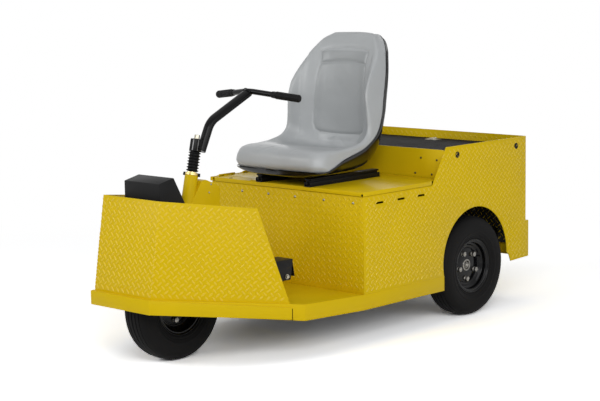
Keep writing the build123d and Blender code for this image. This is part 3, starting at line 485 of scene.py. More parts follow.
# ---- wheels: tyres -----------------------------------------------------------------------
# Three 4.80-8 pneumatic industrial tyres in plain black rubber: a rounded bead over the rim's
# flange, moulded ring lines on the sidewalls and four circumferential ribs on the tread.
tyre_rubber = finish_material("tyre_rubber", (0.0085, 0.0082, 0.0082, 1.0), 0.66, grain=(0.0010, 0.00006),
                              mottle=0.14, shine=0.07)
wheel_names = ("front", "rear_left", "rear_right")
tyre_half = [(0.1020, 0.0424), (0.1143, 0.0427), (0.1150, 0.0462), (0.1168, 0.0492), (0.1196, 0.0512),
             (0.1228, 0.0522), (0.1244, 0.0520), (0.1252, 0.0512), (0.1262, 0.0514), (0.1272, 0.0527),
             (0.1330, 0.0548), (0.1390, 0.0562), (0.1400, 0.0573), (0.1422, 0.0576), (0.1432, 0.0571),
             (0.1500, 0.0583), (0.1560, 0.0589), (0.1620, 0.0590), (0.1690, 0.0588), (0.1750, 0.0583),
             (0.1810, 0.0573), (0.1858, 0.0559), (0.1870, 0.0547), (0.1882, 0.0546), (0.1894, 0.0540),
             (0.1935, 0.0514), (0.1972, 0.0481), (0.2005, 0.0440), (0.2030, 0.0395), (0.2043, 0.0362),
             (0.2018, 0.0354), (0.2018, 0.0334), (0.2050, 0.0326), (0.2060, 0.0285), (0.2067, 0.0205),
             (0.2038, 0.0198), (0.2038, 0.0168), (0.2069, 0.0160), (0.2073, 0.0090), (0.2075, 0.0028),
             (0.2044, 0.0020)]
wheel_middle, wheel_out = {}, {}
for wheel in wheel_names:
    low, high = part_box(f"{wheel}_tyre")
    wheel_middle[wheel] = (low + high) / 2
    wheel_out[wheel] = Vector((0, -1 if wheel == "rear_right" else 1, 0))
    shape = bmesh.new()
    turned(shape, tyre_half + [(r, -w) for r, w in reversed(tyre_half)], wheel_middle[wheel],
           wheel_out[wheel], 96, True)
    tyre = closed_piece(f"{wheel}_tyre_rubber", shape, tyre_rubber, f"{wheel}_wheel", smooth=50.0)
    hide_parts(f"{wheel}_tyre")

# ---- wheels: rims and valves -------------------------------------------------------------
# Pressed 8 inch steel rims in gloss black enamel: rolled flanges, a drop centre and a flat disc
# with a shallow formed ring. A short rubber valve stands in the disc.
gloss_black = finish_material("rim_enamel", (0.0030, 0.0030, 0.0034, 1.0), 0.14, grain=(0.006, 0.00005),
                              shine=0.16)
rubber = finish_material("black_rubber", (0.0055, 0.0055, 0.0058, 1.0), 0.46, grain=(0.0008, 0.00003),
                         mottle=0.08, shine=0.10)
flange = [(0.1140, 0.0434), (0.1142, 0.0456), (0.1136, 0.0472), (0.1122, 0.0480), (0.1106, 0.0478),
          (0.1092, 0.0468), (0.1078, 0.0448), (0.1058, 0.0433), (0.1030, 0.0425), (0.1000, 0.0420),
          (0.0981, 0.0410), (0.0972, 0.0390), (0.0968, 0.0350), (0.0966, 0.0262), (0.0958, 0.0245),
          (0.0930, 0.0226), (0.0890, 0.0206)]
disc = [(0.0862, 0.0190), (0.0846, 0.0168), (0.0832, 0.0155), (0.0812, 0.0150), (0.0790, 0.0150),
        (0.0776, 0.0144), (0.0762, 0.0130), (0.0736, 0.0130), (0.0722, 0.0144), (0.0708, 0.0150),
        (0.0330, 0.0150), (0.0250, 0.0150), (0.0250, 0.0100), (0.0812, 0.0100), (0.0836, 0.0085),
        (0.0840, 0.0060)]
inner_side = [(0.0842, -0.0140), (0.0858, -0.0158)] + [(r, -w) for r, w in reversed(flange)]
barrel = [(0.1012, -0.0430), (0.1012, -0.0240), (0.0885, -0.0120), (0.0885, 0.0120), (0.1012, 0.0240),
          (0.1012, 0.0430)]
for wheel in wheel_names:
    middle, out = wheel_middle[wheel], wheel_out[wheel]
    shape = bmesh.new()
    turned(shape, flange + disc + inner_side + barrel, middle, out, 96, True)
    rim = closed_piece(f"{wheel}_rim_pressing", shape, gloss_black, f"{wheel}_wheel",
                       smooth=50.0)
    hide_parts(f"{wheel}_rim")
    shape = bmesh.new()
    valve = middle + Matrix.Rotation(radians(205), 3, out) @ Vector((0.0745, 0, 0)) + out * 0.0128
    turned(shape, [(0, 0), (0.0050, 0), (0.0050, 0.0030), (0.0036, 0.0050), (0.0034, 0.0160),
                   (0.0041, 0.0165), (0.0041, 0.0230), (0.0034, 0.0240), (0, 0.0240)], valve, out, 16)
    closed_piece(f"{wheel}_valve", shape, rubber, f"{wheel}_wheel")

# ---- wheels: hubs, lug nuts and spindle nuts ---------------------------------------------
# Cast hubs come through the discs, and five zinc lug nuts with coned seats pull each disc on
# to its studs. A castle nut and washer close each rear hub; the front axle bolt fills the front one.
hub_zinc = finish_material("hub_zinc", (0.26, 0.25, 0.23, 1.0), 0.34, metal=1.0, grain=(0.0010, 0.00008),
                           mottle=0.16)
stud_count, stud_circle, stud_turn = 5, 0.05715, radians(61.3)
nut_flats, nut_height, disc_face = 0.019, 0.015, 0.015


def hexagon(shape, centre, axis, flats, height, chamfer, turn=0.0):
    # a hexagon prism standing on the centre, its outer rim chamfered
    stand = Matrix.Translation(centre) @ Vector(axis).to_track_quat("Z", "Y").to_matrix().to_4x4()
    foot = bmesh.ops.create_circle(shape, cap_ends=True, segments=6, radius=flats / 2 / cos(pi / 6),
                                   matrix=stand @ Matrix.Rotation(turn, 4, "Z"))["verts"]
    face = next(iter(set.intersection(*(set(v.link_faces) for v in foot))))
    top = bmesh.ops.extrude_face_region(shape, geom=[face], use_keep_orig=True)["geom"]
    top_verts = [v for v in top if isinstance(v, bmesh.types.BMVert)]
    bmesh.ops.translate(shape, verts=top_verts, vec=Vector(axis).normalized() * height)
    rim_edges = [e for e in top if isinstance(e, bmesh.types.BMEdge)]
    bmesh.ops.bevel(shape, geom=rim_edges, offset=chamfer, segments=2, profile=0.5, affect="EDGES",
                    clamp_overlap=True, material=-1)


for wheel in wheel_names:
    middle, out = wheel_middle[wheel], wheel_out[wheel]
    inner_end = min((corner - middle).dot(out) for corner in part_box(f"{wheel}_hub"))
    shape = bmesh.new()
    back = [(0.0610, inner_end + 0.002), (0.0610, 0.0088), (0.0600, 0.0098), (0.0248, 0.0098),
            (0.0248, 0.0140), (0.0238, 0.0155), (0.0215, 0.0160)]
    if wheel == "front":
        profile = [(0.0101, inner_end), (0.0590, inner_end)] + back + [(0.0120, 0.0160), (0.0101, 0.0150)]
        turned(shape, profile, middle, out, 48, True)
    else:
        # an open dust-cap bore, and in it a washer, the castle nut with its six teeth and the spindle's end
        profile = ([(0, inner_end), (0.0590, inner_end)] + back
                   + [(0.0192, 0.0156), (0.0184, 0.0140), (0.0180, 0.0050), (0, 0.0050)])
        turned(shape, profile, middle, out, 48)
        round_plate(shape, middle + out * 0.0052, out, 0.0165, 0.0022, 32)
        hexagon(shape, middle + out * 0.0074, out, 0.026, 0.0070, 0.0008)
        nut_top = Matrix.Translation(middle + out * 0.0143) @ out.to_track_quat("Z", "Y").to_matrix().to_4x4()
        for k in range(6):
            block(shape, (-0.0030, 0.0078, 0), (0.0030, 0.0122, 0.0036), 0.0005,
                  place=nut_top @ Matrix.Rotation(k * pi / 3 + pi / 6, 4, "Z"))
        turned(shape, [(0, 0.0140), (0.0072, 0.0140), (0.0072, 0.0186), (0.0062, 0.0196), (0, 0.0196)],
               middle, out, 24)
    for k in range(stud_count):
        angle = stud_turn + 2 * pi / stud_count * k
        nut_seat = middle + Vector((stud_circle * cos(angle), 0, stud_circle * sin(angle))) + out * disc_face
        turned(shape, [(0, 0), (0.0118, 0), (0.0112, 0.0018), (0.0100, 0.0034), (0, 0.0034)], nut_seat, out,
               24)
        hexagon(shape, nut_seat + out * 0.0030, out, nut_flats, nut_height - 0.0048, 0.0016, turn=angle)
        turned(shape, [(0, nut_height - 0.0018), (0.0054, nut_height - 0.0018), (0.0054, nut_height - 0.0006),
                       (0.0044, nut_height), (0, nut_height)], nut_seat, out, 16)
    hub = closed_piece(f"{wheel}_hub_and_nuts", shape, hub_zinc, f"{wheel}_wheel", smooth=28.0)
    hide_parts(f"{wheel}_hub")

# ---- frame rails, axle and axle seats ----------------------------------------------------
# Two rectangular steel tubes run the length of the body and rest on saddles over the rear axle
# tube, which carries the round differential. All of it is shot-blasted and black powder coated.
black_powder = finish_material("black_powder_coat", (0.0060, 0.0060, 0.0064, 1.0), 0.40,
                               grain=(0.0014, 0.00005), mottle=0.10, shine=0.11)
for node, width in (("left_frame_rail", 0.004), ("right_frame_rail", 0.004), ("axle_seats", 0.0012),
                    ("deck_ledges", 0.0010), ("rear_axle", 0.0030)):
    broken_edges(node, width, f"{node}_steel", black_powder)
axle_low, axle_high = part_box("rear_axle")
axle_middle = (axle_low + axle_high) / 2
case_r, case_half, case_bolts = (axle_high.x - axle_low.x) / 2, 0.062, 12


def washer_bolt(shape, centre, axis, washer_r, washer_t, flats, height, chamfer, steps=20, turn=0.0):
    # a hexagon head that beds 0.2 mm into its washer
    axis = Vector(axis)
    round_plate(shape, centre, axis, washer_r, washer_t, steps)
    hexagon(shape, Vector(centre) + axis * (washer_t - 0.0002), axis, flats, height, chamfer, turn)


shape = bmesh.new()
for side in (1, -1):
    out = Vector((0, side, 0))
    for k in range(case_bolts):
        spoke = Matrix.Rotation(2 * pi / case_bolts * k, 3, out) @ Vector((case_r - 0.011, 0, 0))
        washer_bolt(shape, axle_middle + spoke + out * case_half, out, 0.0078, 0.0012, 0.011, 0.0056, 0.0008,
                    16)
    turned(shape, [(0.034, 0.0), (0.046, 0.0), (0.044, 0.010), (0.036, 0.014), (0.034, 0.014)],
           axle_middle + out * case_half, out, 40, True)
closed_piece("axle_case_bolts", shape, black_powder, "chassis", smooth=30.0)

# ---- drive motor -------------------------------------------------------------------------
# A series-wound traction motor lies behind the differential: a rolled steel yoke in semi-gloss
# black, a cast end bell with four through bolts, a cooling band and two copper terminal studs.
motor_paint = finish_material("motor_enamel", (0.011, 0.011, 0.012, 1.0), 0.30, coat=0.2,
                              grain=(0.003, 0.00006), mottle=0.10)
motor_low, motor_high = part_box("drive_motor")
motor_back = Vector((motor_low.x, 0, (motor_low.z + motor_high.z) / 2))
shape = bmesh.new()
yoke = [(0, 0), (0.030, 0), (0.030, 0.002), (0.034, 0.006), (0.062, 0.008), (0.074, 0.014), (0.078, 0.022),
        (0.078, 0.040), (0.0795, 0.042), (0.0795, 0.078), (0.078, 0.080), (0.078, 0.200), (0.0795, 0.202),
        (0.0795, 0.212), (0.076, 0.214)]
turned(shape, yoke + [(0.076, 0.216), (0, 0.216)], motor_back, (1, 0, 0), 64)
bell_bolts, band_pads = 4, 14
for k in range(bell_bolts):
    bolt = motor_back + Matrix.Rotation(pi / 4 + 2 * pi / bell_bolts * k, 3, "X") @ Vector((0.011, 0, 0.060))
    hexagon(shape, bolt, (-1, 0, 0), 0.010, 0.007, 0.0008)
for k in range(band_pads):
    place = Matrix.Translation(motor_back) @ Matrix.Rotation(2 * pi / band_pads * k, 4, "X")
    block(shape, (0.046, -0.0035, 0.0790), (0.074, 0.0035, 0.0800), 0.0004, place=place)
motor = closed_piece("motor_yoke", shape, motor_paint, "chassis", smooth=35.0)
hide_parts("drive_motor")

# ---- battery pack ------------------------------------------------------------------------
# Four 6 volt traction blocks stand in a two by two pack under the lid: ribbed black polypropylene
# boxes with heat-sealed covers, three vent caps each and lead posts joined by bolted straps.
battery_plastic = finish_material("battery_plastic", (0.014, 0.014, 0.015, 1.0), 0.38,
                                  grain=(0.0016, 0.00005), mottle=0.08)
lead = finish_material("lead_post", (0.30, 0.30, 0.31, 1.0), 0.46, metal=1.0, grain=(0.0008, 0.00006),
                       mottle=0.18)
cap_yellow = finish_material("vent_cap_yellow", (0.55, 0.33, 0.02, 1.0), 0.42, grain=(0.001, 0.00003))
pack_low, pack_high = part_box("battery_pack")
half_l, half_w = (pack_high.x - pack_low.x) / 2, (pack_high.y - pack_low.y) / 2
case_top, box_top = pack_high.z - 0.058, pack_high.z - 0.016
case_ribs, rib_inset, cap_first, cap_step = 9, 0.028, 0.26, 0.24
post_near, post_far, post_side, strap_half = 0.12, 0.88, 0.22, 0.007
boxes, caps, posts = bmesh.new(), bmesh.new(), bmesh.new()
for i in range(2):
    for j in range(2):
        x0, y0 = pack_low.x + i * half_l, pack_low.y + j * half_w
        x1, y1 = x0 + half_l, y0 + half_w
        block(boxes, (x0 + 0.002, y0 + 0.002, pack_low.z), (x1 - 0.002, y1 - 0.002, case_top), 0.006, 3)
        block(boxes, (x0 + 0.0005, y0 + 0.0005, case_top - 0.002), (x1 - 0.0005, y1 - 0.0005, box_top),
              0.005, 3)
        for k in range(case_ribs):
            rib = x0 + rib_inset + k * (half_l - 2 * rib_inset) / (case_ribs - 1)
            for y in (y0, y1 - 0.0022):
                block(boxes, (rib - 0.002, y, pack_low.z + 0.030),
                      (rib + 0.002, y + 0.0022, case_top - 0.020), 0.0008, 1)
        for k in range(3):
            cap = Vector((x0 + half_l * (cap_first + cap_step * k), (y0 + y1) / 2, box_top))
            turned(caps, [(0, 0), (0.018, 0), (0.018, 0.003), (0.015, 0.004), (0.015, 0.011),
                          (0.0135, 0.012), (0, 0.012)], cap, (0, 0, 1), 28)
            for w in range(2):
                block(caps, (-0.014, -0.0014, 0.011), (0.014, 0.0014, 0.0145), 0.0006, 1,
                      place=Matrix.Translation(cap) @ Matrix.Rotation(w * pi / 2, 4, "Z"))
        for share in (post_near, post_far):
            post = Vector((x0 + half_l * share, y0 + half_w * (post_side if j else 1 - post_side), box_top))
            turned(posts, [(0, 0), (0.012, 0), (0.012, 0.002), (0.0088, 0.003), (0.0080, 0.0135),
                           (0.0068, 0.0145), (0, 0.0145)], post, (0, 0, 1), 24)
for share in (1 - post_side, 1 + post_side):
    strap_y = pack_low.y + half_w * share
    block(posts, (pack_low.x + half_l * post_far - 0.006, strap_y - strap_half, box_top + 0.007),
          (pack_low.x + half_l * (1 + post_near) + 0.006, strap_y + strap_half, box_top + 0.0105), 0.0015)
pack = closed_piece("battery_boxes", boxes, battery_plastic, "chassis")
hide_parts("battery_pack")
closed_piece("battery_caps", caps, cap_yellow, "chassis")
closed_piece("battery_posts", posts, lead, "chassis")

# ---- tow hitch ---------------------------------------------------------------------------
# Two flame-cut jaws, powder coated black, are welded to the tail. A zinc-plated drop pin with a
# ring handle hangs through their bore by its shoulder.
broken_edges("tow_hitch", 0.0015, "hitch_jaws", black_powder)
hitch_low, hitch_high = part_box("tow_hitch")
pin_foot = Vector((hitch_low.x + 0.024, 0, hitch_low.z - 0.014))
pin_rise = hitch_high.z - pin_foot.z


def wire_ring(shape, centre, axis, radius, wire_r):
    wire = [(radius + wire_r * cos(k * pi / 4), wire_r * sin(k * pi / 4)) for k in range(8)]
    turned(shape, wire, centre, axis, 40, True)


shape = bmesh.new()
head = [(0.0090, 0.0003), (0.0150, 0.0003), (0.0150, 0.0050), (0.0080, 0.0070), (0.0080, 0.0180),
        (0.0065, 0.0200), (0, 0.0200)]
turned(shape, [(0, 0), (0.0060, 0), (0.0090, 0.0040)] + [(r, pin_rise + h) for r, h in head], pin_foot,
       (0, 0, 1), 32)
wire_ring(shape, pin_foot + Vector((0, 0, pin_rise + 0.0290)), (1, 0, 0), 0.0160, 0.0026)
closed_piece("hitch_pin", shape, zinc, "chassis")

# ---- fork, front axle and steering shaft -------------------------------------------------
# The fork is two 10 mm legs welded under a crown; its shaft turns in the head tube. The axle is
# a zinc-plated bolt with round heads outside the legs.
broken_edges("front_fork", 0.0012, "fork_steel", black_powder)
broken_edges("front_axle", 0.0016, "front_axle_bolt", zinc)
broken_edges("steering_shaft", 0.0010, "steering_shaft_bar", zinc)

# ---- bearing flange and bellows boot -----------------------------------------------------
# A yellow-passivated flange closes the round head tube, held by two black hexagon screws. Above it
# a moulded rubber bellows of seven folds covers the shaft up to the clevis and turns with it.
brass = finish_material("passivated_flange", (0.60, 0.47, 0.20, 1.0), 0.30, metal=1.0,
                        grain=(0.0006, 0.00003), mottle=0.12)
steer = next(j for j in frame["joints"] if j["name"] == "steer")
pivot, rake = Vector(steer["pos_m"]), Vector(steer["axis"]).normalized()


def up_column(s):
    return pivot + rake * s


def column_span(node):
    # how far down and up the column a node reaches from the pivot
    reach = [(v.co - pivot).dot(rake) for v in nodes[node].data.vertices]
    return min(reach), max(reach)


tube_r, flange_rise = 0.0252, 0.009
(tube_foot, tube_top), (boot_foot, boot_top) = column_span("head_tube"), column_span("column_boot")
clevis_foot, clevis_top = column_span("tiller_clevis")
flange_top = tube_top + flange_rise
shape = bmesh.new()
turned(shape, [(0.0130, tube_foot), (tube_r - 0.0010, tube_foot), (tube_r, tube_foot + 0.0010),
               (tube_r, tube_top - 0.0010), (tube_r - 0.0010, tube_top), (0.0130, tube_top)],
       pivot, rake, 56, True)
column_tube = closed_piece("head_tube_barrel", shape, enamel, "chassis")
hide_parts("head_tube")
shape = bmesh.new()
turned(shape, [(0.0127, tube_top), (0.0248, tube_top), (0.0256, tube_top + 0.0008),
               (0.0256, flange_top - 0.0014), (0.0246, flange_top), (0.0205, flange_top + 0.0004),
               (0.0200, flange_top + 0.0030), (0.0135, flange_top + 0.0034),
               (0.0127, flange_top + 0.0026)], pivot, rake, 48, True)
cover = closed_piece("column_flange", shape, brass, "chassis", smooth=30.0)
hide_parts("bearing_flange")
shape = bmesh.new()
for way in (Vector((-0.64, 0.77, 0)), Vector((0.64, -0.77, 0))):
    place = up_column(tube_top + 0.001) + (way - rake * way.dot(rake)).normalized() * 0.0262
    turned(shape, [(0, -0.0040), (0.0058, -0.0040), (0.0066, -0.0030), (0.0066, 0.0030), (0, 0.0030)], place,
           rake, 20)
    hexagon(shape, place + rake * 0.0028, rake, 0.0110, 0.0060, 0.0008)
closed_piece("flange_screws", shape, black_powder, "chassis", smooth=30.0)
boot_r, boot_root, folds = 0.0236, 0.0184, 7
fold_pitch = (boot_top - boot_foot - 0.009) / (folds - 1)
profile = [(0.0129, boot_foot), (0.0172, boot_foot), (0.0180, boot_foot + 0.0008)]
for k in range(folds):
    ridge = boot_foot + 0.0045 + fold_pitch * k
    fold = [(boot_root, 0.0034), (boot_r - 0.0016, 0.0018), (boot_r - 0.0003, 0.0008)]
    profile += ([(r, ridge - h) for r, h in fold] + [(boot_r, ridge)]
                + [(r, ridge + h) for r, h in reversed(fold)])
profile += [(0.0180, boot_top - 0.0008), (0.0172, boot_top), (0.0129, boot_top)]
shape = bmesh.new()
turned(shape, profile, pivot, rake, 56, True)
boot = closed_piece("column_bellows", shape, rubber, "steering", smooth=60.0)
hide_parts("column_boot")

# ---- tiller clevis and its bolts ---------------------------------------------------------
# A block of black oxide steel clamps the shaft's end, with lighter metal strips down its front
# and left side, a pinch bolt across it and a bright cap bolt with its washer on top.
clevis_steel = finish_material("clevis_steel", (0.0035, 0.0035, 0.0038, 1.0), 0.30, grain=(0.0016, 0.00006),
                               mottle=0.08, shine=0.10)
light_strip_steel = finish_material("light_strip_metal", (0.16, 0.16, 0.16, 1.0), 0.40, metal=1.0,
                             grain=(0.0005, 0.00003), mottle=0.15)
column_frame = Matrix.Translation(pivot) @ Matrix.Rotation(-atan2(-rake.x, rake.z), 4, "Y")
shape = bmesh.new()
block(shape, (-0.0150, -0.0190, clevis_foot + 0.0004), (0.0150, 0.0190, clevis_top - 0.006), 0.0030, 3,
      place=column_frame)
clevis = closed_piece("clevis_block", shape, clevis_steel, "steering")
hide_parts("tiller_clevis")
shape = bmesh.new()
block(shape, (0.0142, -0.0030, clevis_foot + 0.004), (0.0154, 0.0030, clevis_top - 0.009), 0.0004, 1,
      place=column_frame)
block(shape, (0.0052, 0.0182, clevis_foot + 0.004), (0.0086, 0.0194, clevis_top - 0.009), 0.0004, 1,
      place=column_frame)
closed_piece("clevis_bands", shape, light_strip_steel, "steering")
shape = bmesh.new()
for side in (1, -1):
    place = column_frame @ Vector((-0.0030, side * 0.0188, clevis_foot + 0.016))
    hexagon(shape, place, (0, side, 0), 0.0130, 0.0060, 0.0010)
closed_piece("clevis_pinch_bolt", shape, clevis_steel, "steering")
shape = bmesh.new()
washer_bolt(shape, up_column(clevis_top - 0.0064), rake, 0.0112, 0.0020, 0.0180, 0.0140, 0.0014, 32, turn=0.4)
cap_bolt = closed_piece("clevis_cap_bolt", shape, zinc, "steering", smooth=30.0)
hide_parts("clevis_bolt")

# ---- tiller arm and bar ------------------------------------------------------------------
# The arm is a bent 36 mm tube, its lower end cut plain where it meets the clevis; the handlebar is
# a 22 mm tube bent back at both ends and welded on top. Both are gloss black.
tiller_black = finish_material("tiller_enamel", (0.0030, 0.0030, 0.0034, 1.0), 0.20, grain=(0.005, 0.00008),
                               mottle=0.05, shine=0.13)


def rounded(points, radius, steps=10):
    # replaces each inner corner of a polyline by an arc
    line = [points[0]]
    for before, corner, after in zip(points, points[1:], points[2:]):
        a, b = (before - corner).normalized(), (after - corner).normalized()
        half = a.angle(b) / 2
        centre = corner + (a + b).normalized() * radius / sin(half)
        start, end = corner + a * radius / tan(half), corner + b * radius / tan(half)
        axis = (start - centre).cross(end - centre).normalized()
        line += [centre + Matrix.Rotation((pi - 2 * half) * k / steps, 3, axis) @ (start - centre)
                 for k in range(steps + 1)]
    return line + [points[-1]]


def tube(name, line, radius):
    # a round black bar of the tiller along a line of points, with capped and rounded ends
    curve = bpy.data.curves.new(name, "CURVE")
    curve.dimensions, curve.bevel_depth, curve.bevel_resolution, curve.use_fill_caps = "3D", radius, 6, True
    spline = curve.splines.new("POLY")
    spline.points.add(len(line) - 1)
    for point, place in zip(spline.points, line):
        point.co = (*place, 1.0)
    holder = bpy.data.objects.new(name + "_line", curve)
    mesh = bpy.data.meshes.new_from_object(holder)
    bpy.data.objects.remove(holder)
    bpy.data.curves.remove(curve)
    shape = mesh_shape(mesh)
    rims = [e for e in shape.edges if len(e.link_faces) == 2 and e.calc_face_angle() > radians(60)]
    if rims:
        bmesh.ops.bevel(shape, geom=rims, offset=radius * 0.10, segments=2, profile=0.5, affect="EDGES",
                        clamp_overlap=True, material=-1)
    return closed_piece(name, shape, tiller_black, "steering", smooth=45.0)


arm_foot, arm_knee = Vector((0.587, 0, 0.768)), Vector((0.535, 0, 0.876))
bar_middle, bar_end = Vector((0.327, 0, 0.980)), Vector((-0.053, 0.216, -0.025))
arm_r, arm_bend, bar_r, bar_bend = 0.0178, 0.080, 0.011, 0.120
arm = tube("tiller_arm_tube", rounded([arm_foot, arm_knee, bar_middle - Vector((0, 0, 0.006))], arm_bend),
           arm_r)
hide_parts("tiller_bar")
right_end = bar_middle + Vector((bar_end.x, -bar_end.y, bar_end.z))
tube("tiller_handlebar", rounded([right_end, bar_middle, bar_middle + bar_end], bar_bend), bar_r)
shape = bmesh.new()
weld_way = (Vector((0.538, 0, 0.878)) - bar_middle).normalized()
turned(shape, [(0.0170, 0.0085), (0.0181, 0.0080), (0.0184, 0.0110), (0.0176, 0.0140)], bar_middle, weld_way,
       40, True)
closed_piece("tiller_weld", shape, tiller_black, "steering", smooth=70.0)

# ---- tiller grips ------------------------------------------------------------------------
# Push-on rubber grips with a rounded end cap behind a ring groove, fine finger ribs and a
# stepped sleeve towards the middle of the bar.
grip_r, grip_over, rib_foot, rib_step, rib_total = 0.015, 0.008, 0.019, 0.0060, 14
shape = bmesh.new()
for side in (1, -1):
    way = Vector((bar_end.x, side * bar_end.y, bar_end.z))
    tip = bar_middle + way.normalized() * (way.length + grip_over)
    profile = [(0, 0), (0.0080, 0.0002), (0.0118, 0.0014), (0.0140, 0.0038), (0.0150, 0.0072),
               (0.0150, 0.0110), (0.0139, 0.0122), (0.0139, 0.0140), (0.0150, 0.0152)]
    for k in range(rib_total):
        foot = rib_foot + k * rib_step
        profile += [(grip_r, foot), (grip_r - 0.0009, foot + 0.0012), (grip_r - 0.0009, foot + 0.0022),
                    (grip_r, foot + 0.0034)]
    profile += [(grip_r, 0.1040), (0.0136, 0.1056), (0.0132, 0.1180), (0.0124, 0.1250), (0.0112, 0.1260),
                (0.0110, 0.1260), (0.0110, 0.1200), (0.0, 0.1200)]
    turned(shape, profile, tip, -way, 40)
grips = closed_piece("grip_sleeves", shape, rubber, "steering", smooth=50.0)
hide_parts("tiller_grips")

# ---- instrument pod ----------------------------------------------------------------------
# A folded steel housing in fine-textured black stands on the wheel well's cover. Its slanted rear
# face, turned to the driver, carries a charge meter, a key switch and two lamps.
pod_black = finish_material("pod_texture", (0.0065, 0.0065, 0.0068, 1.0), 0.46, grain=(0.0011, 0.00012),
                            mottle=0.10, shine=0.12)
smoked_lens = finish_material("smoked_lens", (0.020, 0.022, 0.024, 1.0), 0.08, coat=0.8,
                              grain=(0.01, 0.00002))
broken_edges("instrument_pod", 0.0025, "pod_housing", pod_black)
pod_low, pod_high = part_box("instrument_pod")
ridge, slant_foot = Vector((pod_low.x + 0.053, 0, pod_high.z)), Vector((pod_low.x, 0, pod_high.z - 0.098))
slant = (slant_foot - ridge).normalized()
face_out = Vector((slant.z, 0, -slant.x))


def on_slant(y):
    return ridge + slant * 0.050 + Vector((0, y, 0))


shape, glass, metal = bmesh.new(), bmesh.new(), bmesh.new()
turned(shape, [(0.020, 0), (0.026, 0), (0.026, 0.004), (0.0245, 0.006), (0.0225, 0.006), (0.0215, 0.004),
               (0.020, 0.003)], on_slant(0.045), face_out, 40, True)
turned(glass, [(0, 0), (0.0212, 0), (0.0212, 0.0036), (0.012, 0.0044), (0, 0.0048)], on_slant(0.045),
       face_out, 40)
turned(metal, [(0, 0), (0.0130, 0), (0.0130, 0.003), (0.0115, 0.0045), (0.0080, 0.0045), (0.0076, 0.0030),
               (0, 0.0030)], on_slant(-0.020), face_out, 32)
for y in (-0.055, -0.074):
    turned(metal, [(0.0045, 0), (0.0068, 0), (0.0068, 0.0022), (0.0058, 0.0032), (0.0045, 0.0032)],
           on_slant(y), face_out, 24, True)
    turned(glass, [(0, 0), (0.0046, 0), (0.0046, 0.0030), (0.0030, 0.0052), (0, 0.0060)], on_slant(y),
           face_out, 24)
closed_piece("meter_bezel", shape, black_powder, "chassis")
closed_piece("meter_glass", glass, smoked_lens, "chassis")
closed_piece("pod_switches", metal, zinc, "chassis")

# ---- pedals ------------------------------------------------------------------------------
# Two hooded pedals of folded plate stand out from the well's turned panels: brake on the left,
# accelerator on the right. Each has a ribbed rubber face and one bright pivot bolt.
pad_ribs, first_pad_rib, pad_rib_pitch = 8, 0.0125, 0.0075
for side, node in ((1, "brake_pedal"), (-1, "accelerator_pedal")):
    broken_edges(node, 0.0014, f"{node}_plate", black_powder)
    low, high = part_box(node)
    lean = atan2(0.014, high.z - low.z)
    stand = Matrix.Translation((low.x, (low.y + high.y) / 2, high.z)) @ Matrix.Rotation(lean, 4, "Y")
    shape = bmesh.new()
    block(shape, (-0.0018, -0.034, -0.070), (0.0, 0.034, -0.008), 0.0006, place=stand)
    for k in range(pad_ribs):
        z = -first_pad_rib - k * pad_rib_pitch
        block(shape, (-0.0042, -0.032, z - 0.0022), (-0.0012, 0.032, z + 0.0022), 0.0008, place=stand)
    closed_piece(f"{node}_rubber", shape, rubber, "chassis")
    shape = bmesh.new()
    outer = high.y if side > 0 else low.y
    bolt = Vector((low.x + 0.034, outer, low.z + 0.014))
    washer_bolt(shape, bolt, (0, side, 0), 0.0095, 0.0012, 0.0130, 0.0060, 0.0010, 24)
    closed_piece(f"{node}_bolt", shape, zinc, "chassis", smooth=30.0)

# ---- pedestal screws ---------------------------------------------------------------------
# The pedestal is folded plate round the head tube. Two small domed screws on each side, one
# above the other on the column's slant, close it.
shape = bmesh.new()
pedestal_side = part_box("column_pedestal")[1].y
for side in (1, -1):
    for x, z in ((0.575, 0.612), (0.564, 0.642)):
        button_screw(shape, (x, side * pedestal_side, z), (0, side, 0), 0.0040, 0.0022)
closed_piece("pedestal_screws", shape, zinc, "chassis")

# ---- round plugs on the body sides -------------------------------------------------------
# Black moulded plugs snap into two holes high on each side panel: a flat face with a shallow
# dished ring round it.
plug_low, plug_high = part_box("side_buttons")
plug_r, plug_z = (plug_high.z - plug_low.z) / 2, (plug_low.z + plug_high.z) / 2
shape = bmesh.new()
for side in (1, -1):
    for x in (plug_low.x + plug_r, plug_high.x - plug_r):
        turned(shape, [(0, 0), (plug_r, 0), (plug_r, 0.0008), (plug_r - 0.0008, 0.0018),
                       (plug_r - 0.0022, 0.0020), (plug_r - 0.0034, 0.0012), (plug_r - 0.0060, 0.0010),
                       (0, 0.0014)], (x, side * (plug_high.y - 0.002), plug_z), (0, side, 0), 36)
plugs = closed_piece("side_plugs", shape, rubber, "chassis")
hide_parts("side_buttons")

# ---- cargo deck --------------------------------------------------------------------------
# The deck is a black steel plate hinged at the wall behind the seat. A ribbed rubber mat lies on
# it, with a folding lift ring let into it near the rear.
broken_edges("deck_plate", 0.0006, "deck_steel", black_powder)
mat_low, mat_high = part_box("deck_mat")
mat_rubber = finish_material("mat_rubber", (0.009, 0.0085, 0.009, 1.0), 0.62, grain=(0.0009, 0.00005),
                             mottle=0.16, shine=0.08)
shape = bmesh.new()
block(shape, (mat_low.x, mat_low.y, mat_low.z), (mat_high.x, mat_high.y, mat_high.z - 0.0016), 0.0008)
rib_pitch, mat_border = 0.0135, 0.006
mat_ribs = int((mat_high.y - mat_low.y - 2 * mat_border) / rib_pitch)
first_rib = (mat_low.y + mat_high.y - rib_pitch * (mat_ribs - 1)) / 2
for k in range(mat_ribs):
    y = first_rib + k * rib_pitch
    block(shape, (mat_low.x + mat_border, y - 0.0034, mat_high.z - 0.0024),
          (mat_high.x - mat_border, y + 0.0034, mat_high.z), 0.0007, 1)
mat = closed_piece("deck_mat_rubber", shape, mat_rubber, "cargo_deck")
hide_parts("deck_mat")
ring_at = Vector((-0.862, -0.033, mat_high.z))
